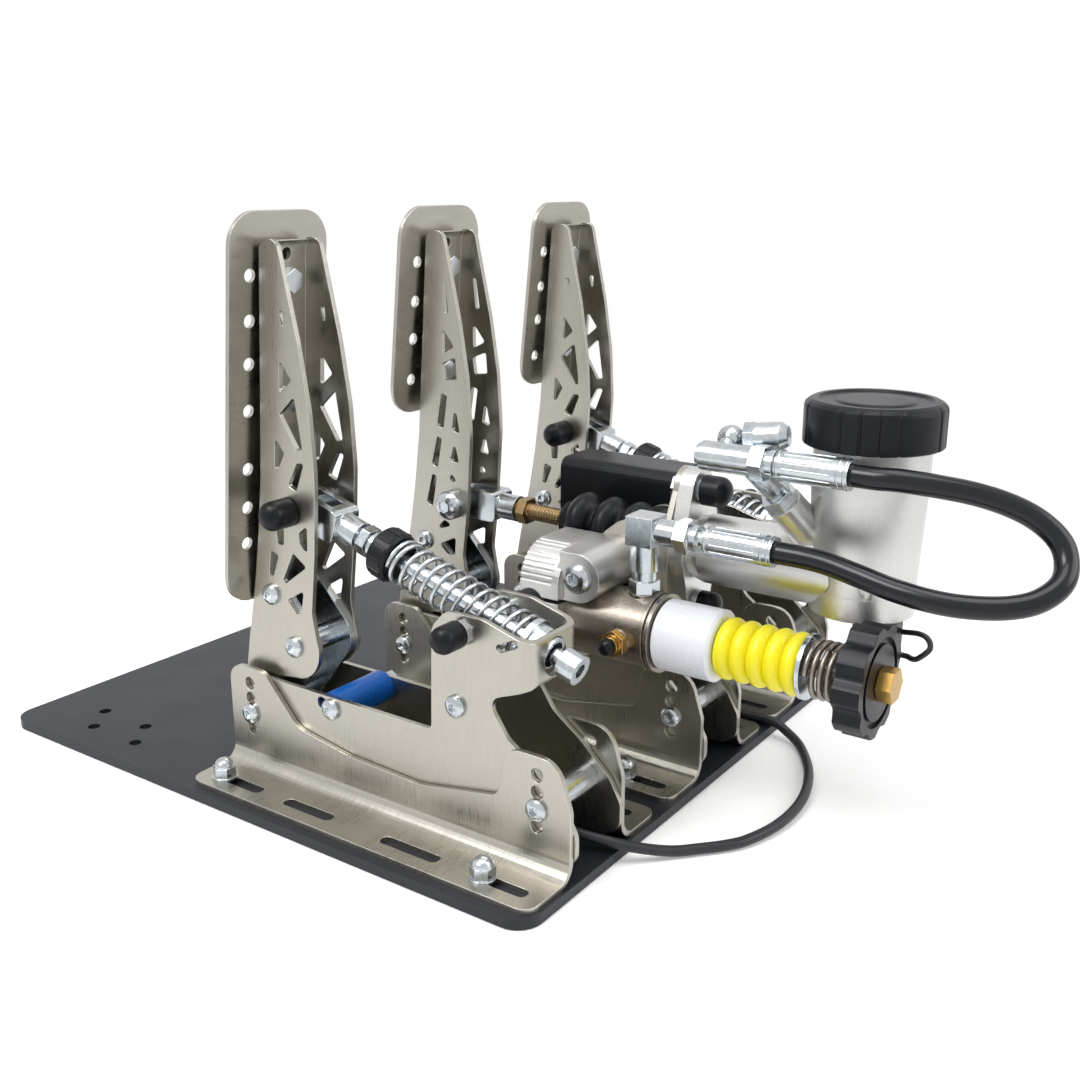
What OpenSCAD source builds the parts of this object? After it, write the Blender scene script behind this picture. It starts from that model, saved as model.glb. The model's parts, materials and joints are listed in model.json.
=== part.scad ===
// Three-pedal set for a driving simulator: throttle, hydraulic brake and clutch on one floor plate.
// X runs across the pedals, Y away from the driver, Z up. The origin is the centre of the plate's underside.

/* [Floor plate] */
// Width of the plate, across the pedals
plate_w = 344; // [330:1:420]
// Length of the plate, fore and aft
plate_l = 350; // [350:1:420]
// Thickness of the plate
plate_t = 5; // [4.5:0.5:8]
// Corner radius of the plate
plate_r = 12; // [4:1:30]
// Radius of the bolt holes for a rig
rig_hole_r = 3.25; // [2.5:0.05:4]
// Distance between neighbouring pedal units
pitch = 115; // [112:1:118]

/* [Floor brackets] */
// Thickness of the bracket sheet
bracket_t = 2.5; // [2:0.1:3]
// Reach of a bracket's foot from the middle of its unit
foot_reach = 52; // [50:0.5:53]
// Inner radius of the bend between foot and wall
foot_bend = 8; // [5:0.5:9]
// Distance of the foot slots from the middle of the unit
slot_x = 41.5; // [41:0.1:43]
// Width of the foot slots
slot_w = 6.4; // [6.2:0.1:7]

/* [Tubs] */
// Half width of a tub, outside
tub_hw = 19; // [18.8:0.1:19.6]
// Thickness of the tub sheet
tub_t = 2.5; // [2:0.1:2.6]
// Height of the tub's long top edge
tub_top = 55; // [53:0.5:56]
// Height of the tower that holds the spring
tower_top = 113; // [111:0.5:116]
// Radius of the stop roller
roller_r = 8; // [6.5:0.1:8.2]

/* [Pedal arms] */
// Half width of an arm, outside its flanges
arm_hw = 14.5; // [14:0.1:14.8]
// Thickness of the arm sheet
arm_t = 2.5; // [2:0.1:2.6]
// Radius of the rounded lobe round the lower bolt
lobe_r = 16; // [15:0.1:16]
// Width of the throttle and clutch pads
pad_w = 60; // [50:1:70]
// Width of the brake pad
brake_pad_w = 64; // [50:1:76]
// Thickness of the pads
pad_t = 2; // [1.5:0.1:3]
// Height of the pads' top edge
pad_top = 277; // [272:1:285]
// Height of the throttle pad's lower edge
long_pad_foot = 92; // [85:1:105]
// Height of the brake and clutch pads' lower edge
short_pad_foot = 169; // [150:1:172]

/* [Spring rods] */
// Diameter of the threaded rods
rod_d = 8; // [7:0.1:8.4]
// Outer diameter of the return springs
spring_d = 22; // [20:0.5:22.5]
// Wire diameter of the return springs
spring_wire = 2.2; // [1.6:0.1:2.4]
// Curls of a return spring
spring_curls = 13; // [8:1:14]
// Outer diameter of the spring collar
collar_d = 24; // [22:0.5:26]

/* [Brake hydraulics] */
// Height of the master cylinder's axis
master_z = 118; // [117:0.5:119]
// Diameter of the master cylinder's barrel
barrel_d = 34; // [30:0.5:36]
// Distance between the master cylinder's flange bolts
flange_pitch = 57.2; // [56:0.1:58]
// Diameter of the fluid reservoir at its rim
reservoir_d = 51.6; // [50:0.2:53]
// Diameter of the reservoir cap
cap_d = 62; // [60:0.5:64]
// Diameter of the slave cylinder
slave_d = 36; // [34:0.5:36.4]
// Diameter of the plunger sleeve
plunger_d = 34; // [30:0.5:35]
// Diameter of the elastomer discs
disc_d = 29; // [26:0.5:32]
// Number of elastomer discs
disc_count = 5; // [3:1:7]
// Diameter of the preload knob
knob_d = 50; // [44:1:53]
// Diameter of the brake hose
hose_d = 10; // [8:0.5:10.5]

/* [Cables] */
// Diameter of the throttle loom
loom_d = 5; // [4:0.5:5]
// Diameter of the sensor lead
lead_d = 2.6; // [2:0.1:3.2]

/* [Hidden] */
$fn = 48;

// Margin by which cuts pass a face, and the gaps between pieces that lie together, move or turn
eps = 0.01;
seat_gap = 0.1;
play = 0.3;
fit = 0.05;

// The middles of the three units
x_throttle = pitch;
x_brake = 0;
x_clutch = -pitch;
units = [x_throttle, x_brake, x_clutch];
spring_units = [x_throttle, x_clutch];

// Floor plate and brackets
rig_insets = [[34, 37], [34, 72], [18, 49], [18, 84]];
rig_rows = [for (p = rig_insets) [plate_w / 2 - p[0], p[1] - plate_l / 2]];
bracket_in = tub_hw + play;
bracket_out = bracket_in + bracket_t;
foot_y = [-32, 173];
foot_top = plate_t + bracket_t;
foot_corner = 7;
slots = [[-22, 8], [24, 54.5], [85, 118], [135, 165]];
screw_y = [-18, 142];
ear_pitch = 8;
ear_top = 58.8;

// Bolts, with the radii of the holes that they pass
m6_r = 3;
m6_hole = 3.2;
m6_sink = 3;
head_r = 5.3;
head_h = 3.3;
nut_r = 5.77;
nut_h = 5;
washer_r = 6.2;
washer_t = 1.2;
pin_r = 4;

// Pivot, bolts and stops of one unit, as [y, z] in its own plane
pivot = [-18, 34.5];
front_bolt = [156, 35];
roller_at = [35, 49];
tower_bolt = [111, 70];
tower_stud = [114.5, 105];
tab_bolts = [[126, 66], [140, 66]];
bolt_a = [-6, 97.5];
bolt_b = [7.8, 73.1];
hub_r = 8;

// Tub
tub_in = tub_hw - tub_t;
tub_floor = 9;
tub_y = [-29, 174];
tub_web = [-24, 142];
tower_front = 150.5;
tower_bend = 9.5;

// Pedal arm: its back edge from the top down, and where its web ends
arm_in = arm_hw - arm_t;
arm_top = 265;
back_line = [[0, 265], [-4, 213], [-8.5, 157.6], [-12.5, 128], [-16.5, 105], [-24, 71.4]];
pivot_lobe = 10.5;
web_foot = 66;
web_slots = [258, 222];

// Pad: its back face passes through this [y, z] and leans forward at the top
pad_at = [-1.8, 265];
pad_lean = 6.16;
pad_bolt_z = [247, 192];
pad_hole_x = 18;
pad_hole_r = 3.1;
pad_holes = [249, 228.6, 208.9, 187, 159, 140, 122];

// Spring rod, laid out along its own axis from the clevis pin
pin_side = [9, 141];
rod_slope = 17.6;
fork_w = 16;
fork_gap = 8;
fork_l = 34;
jam_nut = [36, 41];
rod_sleeve = [42.2, 46.6];
collar_s = 46.7;
collar_l = 11;
seat_s = 134.4;
seat_l = 3;
seat_shoulder_l = 8.2;
seat_tube_l = 13;
seat_shoulder = seat_s + seat_shoulder_l;
seat_end = seat_s + seat_tube_l;
seat_bore_r = rod_d / 2 + 2;
seat_tube_r = 8;
rod_head_gap = 5.4;
rod_head_s = seat_end + rod_head_gap;
rod_head_l = 8.8;
rod_head_r = 6.75;
spring_l = seat_s - collar_s - collar_l - 2 * seat_gap;

// Brake push rod and master cylinder, along Y
pin_brake = [14.5, 121];
rod_tip_y = 150;
brake_slope = atan((pin_brake[1] - master_z) / (rod_tip_y - pin_brake[0]));
brake_rod_l = (rod_tip_y - pin_brake[0]) / cos(brake_slope);
mount_y = [147, 150];
mount_z = 60;
tab_x = [tub_in - 2.7, tub_in - 0.2];
tab_y = 118;
tab_top = 100;
flange_y = [150.1, 158];
flange_r = 19;
ear_r = 10.5;
spigot_r = 14;
spigot_y = 138;
barrel_end = 250;
piston_r = 8;
piston_y = [rod_tip_y + play, 186];
piston_bore_end = 206;
reservoir_at = [-6, 238];
reservoir_foot_r = 24;
casting_z = [101, 112];
reservoir_floor = 142;
reservoir_rim = 187.5;
reservoir_wall = 3;
cap_z = [178, 198];
cap_ribs = 40;
boot_y = [78, 146.4];
boot_r = 16;
boot_valley = 11;
boot_folds = 3;
fold_pitch = 15.5;

// Outlet boss on the casting, and the fittings that stand on it
boss_foot = [6, 214, 138];
boss_way = [0.574, -0.394, 0.717];
boss_r = 8.5;
boss_root = 8;
boss_l = 18;
port_x = 30;
port_z = 171;
port_y = [171, 198];
port_r = 6.8;
hex_l = 6.5;
ferrule_l = 33;
ferrule_r = 6.8;
ferrule_y = 210;
sensor_foot = [19, 181, 177.5];
sensor_way = [-0.2, 0.97, 0.12];
sensor_hex = [6.6, 11.6];
sensor_end = [23, 26.5];

// Slave cylinder and its stack, along Y
slave_x = 38;
slave_z = 85;
slave_y = [96, 156];
gland_y = [156, 161];
gland_r = 19;
stem_r = 12;
stem_y = 131;
stem_bore_y = 122;
sleeve_y = [161.3, 191];
stack_y = [191.1, 231.8];
washer_y = [231.9, 233.9];
knob_spring_y = [234.1, 250.9];
knob_washer_y = [251.1, 252.6];
knob_y = [252.6, 265];
core_head_y = [265.3, 272];
core_r = 4;
knob_spring_d = 27;
knob_spring_wire = 2.8;
knob_spring_curls = 4;
knob_lobes = 9;
band_y = [92, 114];
band_x = 60;
band_r = 19;
pinch_at = [123, 110];
pinch_boss_r = 12;
clamp_x = 57;
clamp_top = pinch_at[1] + pinch_boss_r;
elbow_y = 148.5;
elbow_z = 134;
elbow_r = 7;
slave_pad_z = slave_z + slave_d / 2 + 0.5;
lower_ferrule_y = 181;
bleed_at = [145, 83];
bleed_x = slave_x + slave_d / 2 + 0.4;
bleed_l = [4.5, 7.6, 10];

// Controller box on its shelf
box_x = [-56, -22];
box_y = [60, 128];
box_z = [116, 146];
box_r = 6;
shelf_t = 2.2;
shelf_y = [62, 118];
shelf_l = 38;
shelf_z = 44;

// Plug under the casting, and the clip that holds the loom
plug_x = [-4, 11];
plug_y = [241, 259];
plug_z = [78, 100.9];
clip_y = [128, 139.9];

// Routes of the hose and the cables, as points along their middles
hose_points = [
    [30, 243, 171], [30, 253, 171], [28, 263, 171], [23, 277, 169.5], [17, 291, 167], [12, 304, 163],
    [9, 315, 157.5], [9, 324, 150], [13, 328, 142], [20, 328, 135.5], [28, 322, 130], [34, 312, 127],
    [39, 298, 126], [41.5, 284, 126.5], [42, 268, 128.5], [41, 252, 131.5], [39, 238, 133.5], [38, 226, 134],
    [38, 214, 134]
];
loom_points = [
    [112, 140, 15], [112, 147, 15], [109.5, 158, 12.6], [105.5, 168, 10.4], [101, 177, 8.4], [93, 186, 5.4],
    [84, 194, 3], [75, 202, 2.6], [66, 210, 2.6], [56, 216, 2.6], [38, 221, 2.6], [18, 222, 2.6],
    [-2, 219, 2.6], [-22, 212, 2.6], [-38, 203, 2.6], [-50, 194, 2.8], [-56, 185, 4.6], [-57.5, 176, 7.7],
    [-57.5, 158, 7.7], [-57.5, 140, 7.7], [-57.5, 126, 8.6], [-56.5, 117, 16], [-53, 113, 32],
    [-49, 112, 56], [-45, 112, 82], [-43, 112, 104], [-43, 112, 116]
];
lead_points = [
    [-30, 128, 126], [-30, 136, 126], [-30, 150, 120], [-30, 168, 112], [-28, 186, 104], [-24, 202, 98],
    [-18, 218, 95], [-10, 232, 93], [-7, 246, 92], [-6.5, 258, 93], [-3, 267, 95], [3, 273, 95.5],
    [8, 275.5, 93], [9, 271, 88], [6.5, 267.5, 86.3], [4, 264.5, 86], [4, 259, 86]
];

// Colours
steel = "#b9b6ad";
zinc = "#c3cbd0";
black = "#202226";
coated = "#2c2f34";
alloy = "#c4c3bf";
dark_steel = "#6b655e";
brass = "#b98a3a";
gold_zinc = "#b79d63";
blue = "#0f4fb5";
yellow = "#f3e21c";
white = "#eef1f4";

// Points of an outline whose corners are [a, b, radius]
function direction(v) = v / norm(v);
function arc(c, a, b, n) =
    let (from = atan2(a[1] - c[1], a[0] - c[0]),
         to = atan2(b[1] - c[1], b[0] - c[0]),
         turn = ((to - from + 540) % 360) - 180)
    [for (i = [0:n]) c + norm(a - c) * [cos(from + turn * i / n), sin(from + turn * i / n)]];
function corner(p, a, b, r) =
    let (u = direction(a - p),
         v = direction(b - p),
         half = acos(max(-1, min(1, u * v))) / 2,
         reach = min(r / tan(half), 0.48 * min(norm(a - p), norm(b - p))),
         steps = r < 3 ? 3 : r < 9 ? 5 : 9)
    arc(p + direction(u + v) * reach / cos(half), p + u * reach, p + v * reach, steps);
function flat(p) = [p[0], p[1]];
function outline(pts) =
    let (n = len(pts))
    [for (i = [0:n - 1]) each (pts[i][2] > 0
        ? corner(flat(pts[i]), flat(pts[(i + n - 1) % n]), flat(pts[(i + 1) % n]), pts[i][2])
        : [flat(pts[i])])];
function with_radius(pts, r) = [for (p = pts) [p[0], p[1], r]];
function stadium(a, w, from, to) = outline([
    [a - w / 2, from, w / 2.1], [a + w / 2, from, w / 2.1], [a + w / 2, to, w / 2.1], [a - w / 2, to, w / 2.1]]);

// Two rounded ends joined by straight sides, as the four points where the sides touch them
function belt(a, ra, b, rb) =
    let (d = b - a,
         way = atan2(d[1], d[0]),
         lean = acos((ra - rb) / norm(d)))
    [a + ra * [cos(way + lean), sin(way + lean)], b + rb * [cos(way + lean), sin(way + lean)],
     b + rb * [cos(way - lean), sin(way - lean)], a + ra * [cos(way - lean), sin(way - lean)]];

// A side profile in [y, z] pushed out from x0 to x1, and a front profile in [x, z] from y0 to y1
module side(pts, x0, x1) {
    translate([x0, 0, 0])
        rotate([90, 0, 90])
            linear_extrude(x1 - x0)
                polygon(pts);
}
module front(pts, y0, y1) {
    translate([0, y1, 0])
        rotate([90, 0, 0])
            linear_extrude(y1 - y0)
                polygon(pts);
}
module both_sides() {
    children();
    mirror([1, 0, 0])
        children();
}
module unit(x) {
    translate([x, 0, 0])
        children();
}

// Rods and hexagons across X, at a [y, z], and along Y, at an x and a z
module across(at, r, x0, x1) {
    translate([x0, at[0], at[1]])
        rotate([0, 90, 0])
            cylinder(r = r, h = x1 - x0);
}
module across_hex(at, r, x0, x1) {
    translate([x0, at[0], at[1]])
        rotate([0, 90, 0])
            cylinder(r = r, h = x1 - x0, $fn = 6);
}
module along(x, z, r, y0, y1) {
    translate([x, y0, z])
        rotate([-90, 0, 0])
            cylinder(r = r, h = y1 - y0);
}
module along_hex(x, z, r, y0, y1) {
    translate([x, y0, z])
        rotate([-90, 0, 0])
            cylinder(r = r, h = y1 - y0, $fn = 6);
}
module turned_along(x, z, pts) {
    translate([x, 0, z])
        rotate([-90, 0, 0])
            rotate_extrude()
                polygon(pts);
}

// Stands a child that points up Z on a point, facing along a way
module facing(at, way) {
    translate(at)
        rotate([0, acos(way[2] / norm(way)), atan2(way[1], way[0])])
            children();
}

// Button head standing on z = 0, with its hexagon socket
module button_head(r = head_r, h = head_h) {
    difference() {
        rotate_extrude()
            polygon(concat([[0, 0], [r, 0]],
                [for (a = [10:16:90]) [r * cos(a), h * 0.25 + h * 0.75 * sin(a)]]));
        translate([0, 0, h * 0.45])
            cylinder(r = r * 0.42, h = h, $fn = 6);
    }
}
module head_right(at, x, r = head_r, h = head_h) {
    translate([x, at[0], at[1]])
        rotate([0, 90, 0])
            button_head(r, h);
}
module through_bolt(at, reach) {
    across(at, m6_r, -reach - nut_h, reach);
    head_right(at, reach);
    across_hex(at, nut_r, -reach - nut_h, -reach);
}
module sleeve(at, r, half) {
    difference() {
        across(at, r, -half, half);
        across(at, m6_hole, -half - 1, half + 1);
    }
}
module dome(r, h) {
    rotate_extrude()
        polygon(concat([[0, 0]], [for (a = [0:15:90]) [r * cos(a), h * sin(a)]]));
}
module rubber_cap(r, l, bore, depth) {
    difference() {
        rotate_extrude()
            polygon(concat([[0, 0], [r, 0]],
                [for (a = [0:15:90]) [r * cos(a), l - 0.8 * r * (1 - sin(a))]]));
        translate([0, 0, -1])
            cylinder(r = bore + seat_gap, h = depth + 1);
    }
}
module cap_right(at, x, r, l, bore, depth) {
    translate([x, at[0], at[1]])
        rotate([0, 90, 0])
            rubber_cap(r, l, bore, depth);
}

// Frames carried along a path, so that a swept ring never twists
function tangent(p, i) = direction(p[min(i + 1, len(p) - 1)] - p[max(i - 1, 0)]);
function square_to(n, t) = direction(n - (n * t) * t);
function normals(p) =
    [for (i = 0, n = square_to([0.2, 0.1, 1], tangent(p, 0)); i < len(p);
          i = i + 1, n = i < len(p) ? square_to(n, tangent(p, i)) : n) n];
function ring(c, n, b, r, sides) =
    [for (k = [0:sides - 1]) c + r * (cos(360 * k / sides) * n + sin(360 * k / sides) * b)];
function tube_points(p, r, sides) =
    let (n = normals(p))
    [for (i = [0:len(p) - 1]) each ring(p[i], n[i], cross(tangent(p, i), n[i]), r, sides)];
function tube_faces(count, sides) = concat(
    [[for (k = [0:sides - 1]) k]],
    [for (i = [0:count - 2], k = [0:sides - 1])
        [i * sides + k, (i + 1) * sides + k, (i + 1) * sides + (k + 1) % sides]],
    [for (i = [0:count - 2], k = [0:sides - 1])
        [i * sides + k, (i + 1) * sides + (k + 1) % sides, i * sides + (k + 1) % sides]],
    [[for (k = [sides - 1:-1:0]) (count - 1) * sides + k]]);
module tube(p, r, sides) {
    polyhedron(tube_points(p, r, sides), tube_faces(len(p), sides));
}

// A smooth curve through hand-set points, in steps between each pair
function bend_at(a, b, c, d, t) =
    0.5 * ((2 * b) + (c - a) * t + (2 * a - 5 * b + 4 * c - d) * t * t + (3 * b - a - 3 * c + d) * t * t * t);
function smooth(p, steps) = concat(
    [for (i = [0:len(p) - 2], s = [0:steps - 1])
        bend_at(p[max(i - 1, 0)], p[i], p[i + 1], p[min(i + 2, len(p) - 1)], s / steps)],
    [p[len(p) - 1]]);

// Compression spring from z = 0 to z = l. Its first and last turns may lie close together
curl_rings = 8;
close_pitch = 1.25;
function coil_height(u, l, wire, curls, closed) =
    let (ends = closed * wire * close_pitch,
         low = min(u, closed),
         high = max(0, u - (curls - closed)),
         middle = min(max(0, u - closed), curls - 2 * closed) / (curls - 2 * closed))
    wire / 2 + (low + high) * wire * close_pitch + middle * (l - wire - 2 * ends);
function coil_points(l, d, wire, curls, closed) =
    [for (i = [0:curls * curl_rings])
        let (a = 360 * i / curl_rings, r = (d - wire) / 2)
        [r * cos(a), r * sin(a), coil_height(i / curl_rings, l, wire, curls, closed)]];
module coil(l, d, wire, curls, closed) {
    tube(coil_points(l, d, wire, curls, closed), wire / 2, 6);
}
function coil_gap(p, wire) =
    min([for (i = [0:len(p) - 3 - curl_rings], j = [-2:2]) norm(p[i + curl_rings + j] - p[i])]) - wire;
knob_spring_l = knob_spring_y[1] - knob_spring_y[0];
echo(return_spring_gap = coil_gap(coil_points(spring_l, spring_d, spring_wire, spring_curls, 1), spring_wire));
echo(preload_spring_gap = coil_gap(
    coil_points(knob_spring_l, knob_spring_d, knob_spring_wire, knob_spring_curls, 0), knob_spring_wire));

// Floor plate, drilled for the rig and for the floor screws
module at_floor_screws() {
    for (x = units, s = [-1, 1], y = screw_y)
        translate([x + s * slot_x, y, 0])
            children();
}
module base_plate() {
    color(coated)
        difference() {
            linear_extrude(plate_t)
                polygon(outline([
                    [-plate_w / 2, -plate_l / 2, plate_r], [plate_w / 2, -plate_l / 2, plate_r],
                    [plate_w / 2, plate_l / 2, plate_r], [-plate_w / 2, plate_l / 2, plate_r]]));
            both_sides()
                for (p = rig_rows)
                    translate([p[0], p[1], -1])
                        cylinder(r = rig_hole_r, h = plate_t + 2);
            at_floor_screws() {
                translate([0, 0, -1])
                    cylinder(r = m6_hole, h = plate_t + 2);
                translate([0, 0, -eps])
                    cylinder(r1 = washer_r, r2 = m6_hole, h = m6_sink);
            }
        }
}

// Bent floor brackets, one pair a unit
wall_top = [
    [-32, 0, 0], [-32, ear_top, 9], [-8, ear_top, 8], [14, 34.7, 14], [48, 29.2, 30], [91, 27.4, 30],
    [135.5, 35.4, 6], [139.5, 59.6, 9], [166, 59.6, 12], [173, 38, 10], [173, 0, 0]
];
bend_x = bracket_out + foot_bend;
foot_section = concat(
    [[foot_reach, plate_t], [foot_reach, foot_top]],
    arc([bend_x, foot_top + foot_bend], [bend_x, foot_top], [bracket_out, foot_top + foot_bend], 8),
    [[bracket_out, 70], [bracket_in, 70]],
    arc([bend_x, foot_top + foot_bend], [bracket_in, foot_top + foot_bend], [bend_x, plate_t], 8));
module one_bracket() {
    difference() {
        intersection() {
            front(foot_section, foot_y[0], foot_y[1]);
            side(outline(wall_top), bracket_in - 1, foot_reach + 1);
            linear_extrude(80)
                polygon(outline([
                    [0, foot_y[0], 0], [foot_reach, foot_y[0], foot_corner],
                    [foot_reach, foot_y[1], foot_corner], [0, foot_y[1], 0]]));
        }
        for (s = slots)
            translate([0, 0, plate_t - 1])
                linear_extrude(bracket_t + 2)
                    polygon(stadium(slot_x, slot_w, s[0], s[1]));
        for (p = [pivot, front_bolt], k = [-1, 0, 1, 2])
            across([p[0], p[1] + k * ear_pitch], m6_hole, bracket_in - 1, bracket_out + 1);
    }
}
module brackets(x) {
    color(steel)
        unit(x)
            both_sides()
                one_bracket();
}
module throttle_brackets() {
    brackets(x_throttle);
}
module brake_brackets() {
    brackets(x_brake);
}
module clutch_brackets() {
    brackets(x_clutch);
}

// Countersunk screws up through the plate, each with a washer and a dome nut
module floor_screws() {
    color(zinc)
        at_floor_screws() {
            cylinder(r1 = washer_r - seat_gap, r2 = m6_r, h = m6_sink);
            cylinder(r = m6_r, h = foot_top + washer_t + nut_h);
            translate([0, 0, foot_top])
                cylinder(r = washer_r, h = washer_t);
            translate([0, 0, foot_top + washer_t])
                cylinder(r = nut_r, h = nut_h, $fn = 6);
            translate([0, 0, foot_top + washer_t + nut_h])
                dome(nut_r * 0.85, 4.2);
        }
}

// Tub: one bent sheet with two walls and a floor, and a tower at its front
spring_profile = [
    [tub_y[0], tub_floor, 4], [tub_y[0], 46, 8], [-20, tub_top, 8], [96.5, tub_top, 2.5], [98, 104, 10],
    [106, tower_top, 8], [126, tower_top, 10], [tower_front, 106, 2], [tower_front, 86, 3], [132, 79, 5],
    [130, 74, 5], [138, 62, 10], [152, 52, 12], [168, 37, 10], [tub_y[1], 26, 8], [tub_y[1], 14, 8],
    [166, tub_floor, 6]
];
brake_back = mount_y[0] - seat_gap;
brake_profile = [
    [tub_y[0], tub_floor, 4], [tub_y[0], 46, 8], [-20, tub_top, 8], [96.5, tub_top, 2.5], [100, 92, 12],
    [113, 122, 12], [124, 131, 14], [brake_back, 131, 8], [brake_back, 58, 2], [153, 52, 4], [168, 37, 10],
    [tub_y[1], 26, 8], [tub_y[1], 14, 8], [166, tub_floor, 6]
];
corner_slot = [[134, 99.5, 1.8], [145, 104.5, 1.8], [143.5, 108, 1.8], [132.5, 103, 1.8]];
roller_slot = [
    [roller_at[0] - 9, roller_at[1] + 5.6, 3], [roller_at[0], roller_at[1] + m6_hole, 0],
    [roller_at[0], roller_at[1] - m6_hole, 0], [roller_at[0] - 9, roller_at[1] - 0.8, 3]
];
tower_sides = tower_front - 15;
module tub_drilling() {
    for (p = [pivot, front_bolt, roller_at, tower_bolt])
        across(p, m6_hole, -tub_hw - 1, tub_hw + 1);
    side(outline(roller_slot), -tub_hw - 1, tub_hw + 1);
}
module tub_walls(front_y) {
    both_sides()
        translate([tub_in, tub_y[0] - 1, 0])
            cube([tub_t, front_y - tub_y[0] + 1, 140]);
    both_sides()
        translate([tub_in, front_y - 1, 0])
            cube([tub_t, tub_y[1] + 2 - front_y, 77]);
    translate([-tub_hw, tub_web[0], tub_floor])
        cube([2 * tub_hw, tub_web[1] - tub_web[0], tub_t]);
}
module tower_wall(z0) {
    translate([0, 0, z0])
        linear_extrude(140 - z0)
            difference() {
                polygon(outline([
                    [-tub_hw, tower_sides, 0], [tub_hw, tower_sides, 0],
                    [tub_hw, tower_front, tower_bend], [-tub_hw, tower_front, tower_bend]]));
                polygon(outline([
                    [-tub_in, tower_sides - 1, 0], [tub_in, tower_sides - 1, 0],
                    [tub_in, tower_front - tub_t, tower_bend - tub_t],
                    [-tub_in, tower_front - tub_t, tower_bend - tub_t]]));
            }
}
module spring_tub(x) {
    color(steel)
        unit(x)
            difference() {
                intersection() {
                    side(outline(spring_profile), -tub_hw - 1, tub_hw + 1);
                    union() {
                        tub_walls(tower_sides + seat_gap);
                        tower_wall(76);
                    }
                }
                tub_drilling();
                across(tower_stud, m6_hole, -tub_hw - 1, tub_hw + 1);
                side(outline(corner_slot), 0, tub_hw + 1);
                on_rod()
                    translate([0, 0, seat_s])
                        cylinder(r = seat_tube_r + play, h = 30);
            }
}
module throttle_tub() {
    spring_tub(x_throttle);
}
module clutch_tub() {
    spring_tub(x_clutch);
}
module brake_tub() {
    color(steel)
        unit(x_brake)
            difference() {
                intersection() {
                    side(outline(brake_profile), -tub_hw - 1, tub_hw + 1);
                    tub_walls(brake_back + 1);
                }
                tub_drilling();
                for (p = tab_bolts)
                    across(p, m6_hole, -tub_hw - 1, tub_hw + 1);
                across(pinch_at, m6_hole, 0, tub_hw + 1);
            }
}

// The axles that the arms turn on, and the bolts that hold ears, rollers, towers and the master cylinder
module pivot_axles() {
    color(zinc)
        for (x = units)
            unit(x)
                through_bolt(pivot, bracket_out);
}
module frame_bolts() {
    color(zinc) {
        for (x = units)
            unit(x) {
                through_bolt(front_bolt, bracket_out);
                through_bolt(roller_at, tub_hw);
            }
        for (x = spring_units)
            unit(x) {
                through_bolt(tower_bolt, tub_hw);
                tower_studs();
            }
        unit(x_brake) {
            across(tower_bolt, m6_r, -tub_hw - shelf_t - nut_h, tub_hw);
            across_hex(tower_bolt, nut_r, -tub_hw - shelf_t - nut_h, -tub_hw - shelf_t);
            for (p = tab_bolts)
                through_bolt(p, tub_hw);
            flange_bolts();
            across(pinch_at, m6_r, tub_in, clamp_x);
            head_right(pinch_at, clamp_x, 7.2, 4);
        }
    }
}
module tower_studs() {
    both_sides() {
        across(tower_stud, m6_r, tub_in - 2, tub_hw + 12);
        across(tower_stud, head_r, tub_in - 2.6, tub_in);
        across_hex(tower_stud, nut_r, tub_hw, tub_hw + 3);
    }
}
module flange_bolts() {
    for (z = [master_z - flange_pitch / 2, master_z + flange_pitch / 2]) {
        along(0, z, m6_r, mount_y[0] - 4, flange_y[1] + 9);
        along_hex(0, z, nut_r, mount_y[0] - 4, mount_y[0]);
        along(0, z, washer_r, flange_y[1], flange_y[1] + washer_t);
    }
}
module tub_spacers() {
    color(zinc)
        for (x = units)
            unit(x) {
                sleeve(front_bolt, 6.5, tub_in - seat_gap);
                sleeve(tower_bolt, 5.5, tub_in - seat_gap);
            }
}
module stop_rollers() {
    color(blue)
        for (x = units)
            unit(x)
                sleeve(roller_at, roller_r, tub_in - seat_gap);
}

// Rubber caps over the bolt ends, and the rubber clip that holds the loom
module bolt_caps() {
    cap_y = flange_y[1] + washer_t;
    color(black) {
        for (x = spring_units)
            unit(x)
                both_sides()
                    cap_right(tower_stud, tub_hw + 3, washer_r, 14, m6_r, 9.2);
        facing([x_brake, cap_y, master_z + flange_pitch / 2], [0, 1, 0])
            rubber_cap(7.5, 14, m6_r, 8);
        facing([x_brake, cap_y, master_z - flange_pitch / 2], [0, 1, 0])
            rubber_cap(washer_r, 11, m6_r, 8);
        cap_right(bleed_at, bleed_x + bleed_l[1], 4, 5, 1.5, bleed_l[2] - bleed_l[1] + seat_gap);
        loom_clip();
    }
}
module loom_clip() {
    at = loom_points[0];
    floor_top = tub_floor + tub_t;
    translate([at[0] - 6, clip_y[0], floor_top])
        cube([12, clip_y[1] - clip_y[0], at[2] + loom_d / 2 + 1.5 - floor_top]);
}

// Spring seats in the towers' front walls
module on_rod() {
    translate([0, pin_side[0], pin_side[1]])
        rotate([-90 - rod_slope, 0, 0])
            children();
}
module spring_seats() {
    color(zinc)
        for (x = spring_units)
            unit(x)
                on_rod()
                    translate([0, 0, seat_s])
                        difference() {
                            union() {
                                cylinder(d = spring_d, h = seat_l);
                                cylinder(r = seat_tube_r + 1.6, h = seat_shoulder - seat_s);
                                cylinder(r = seat_tube_r, h = seat_end - seat_s);
                            }
                            translate([0, 0, -1])
                                cylinder(r = seat_bore_r, h = 30);
                        }
}

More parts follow.
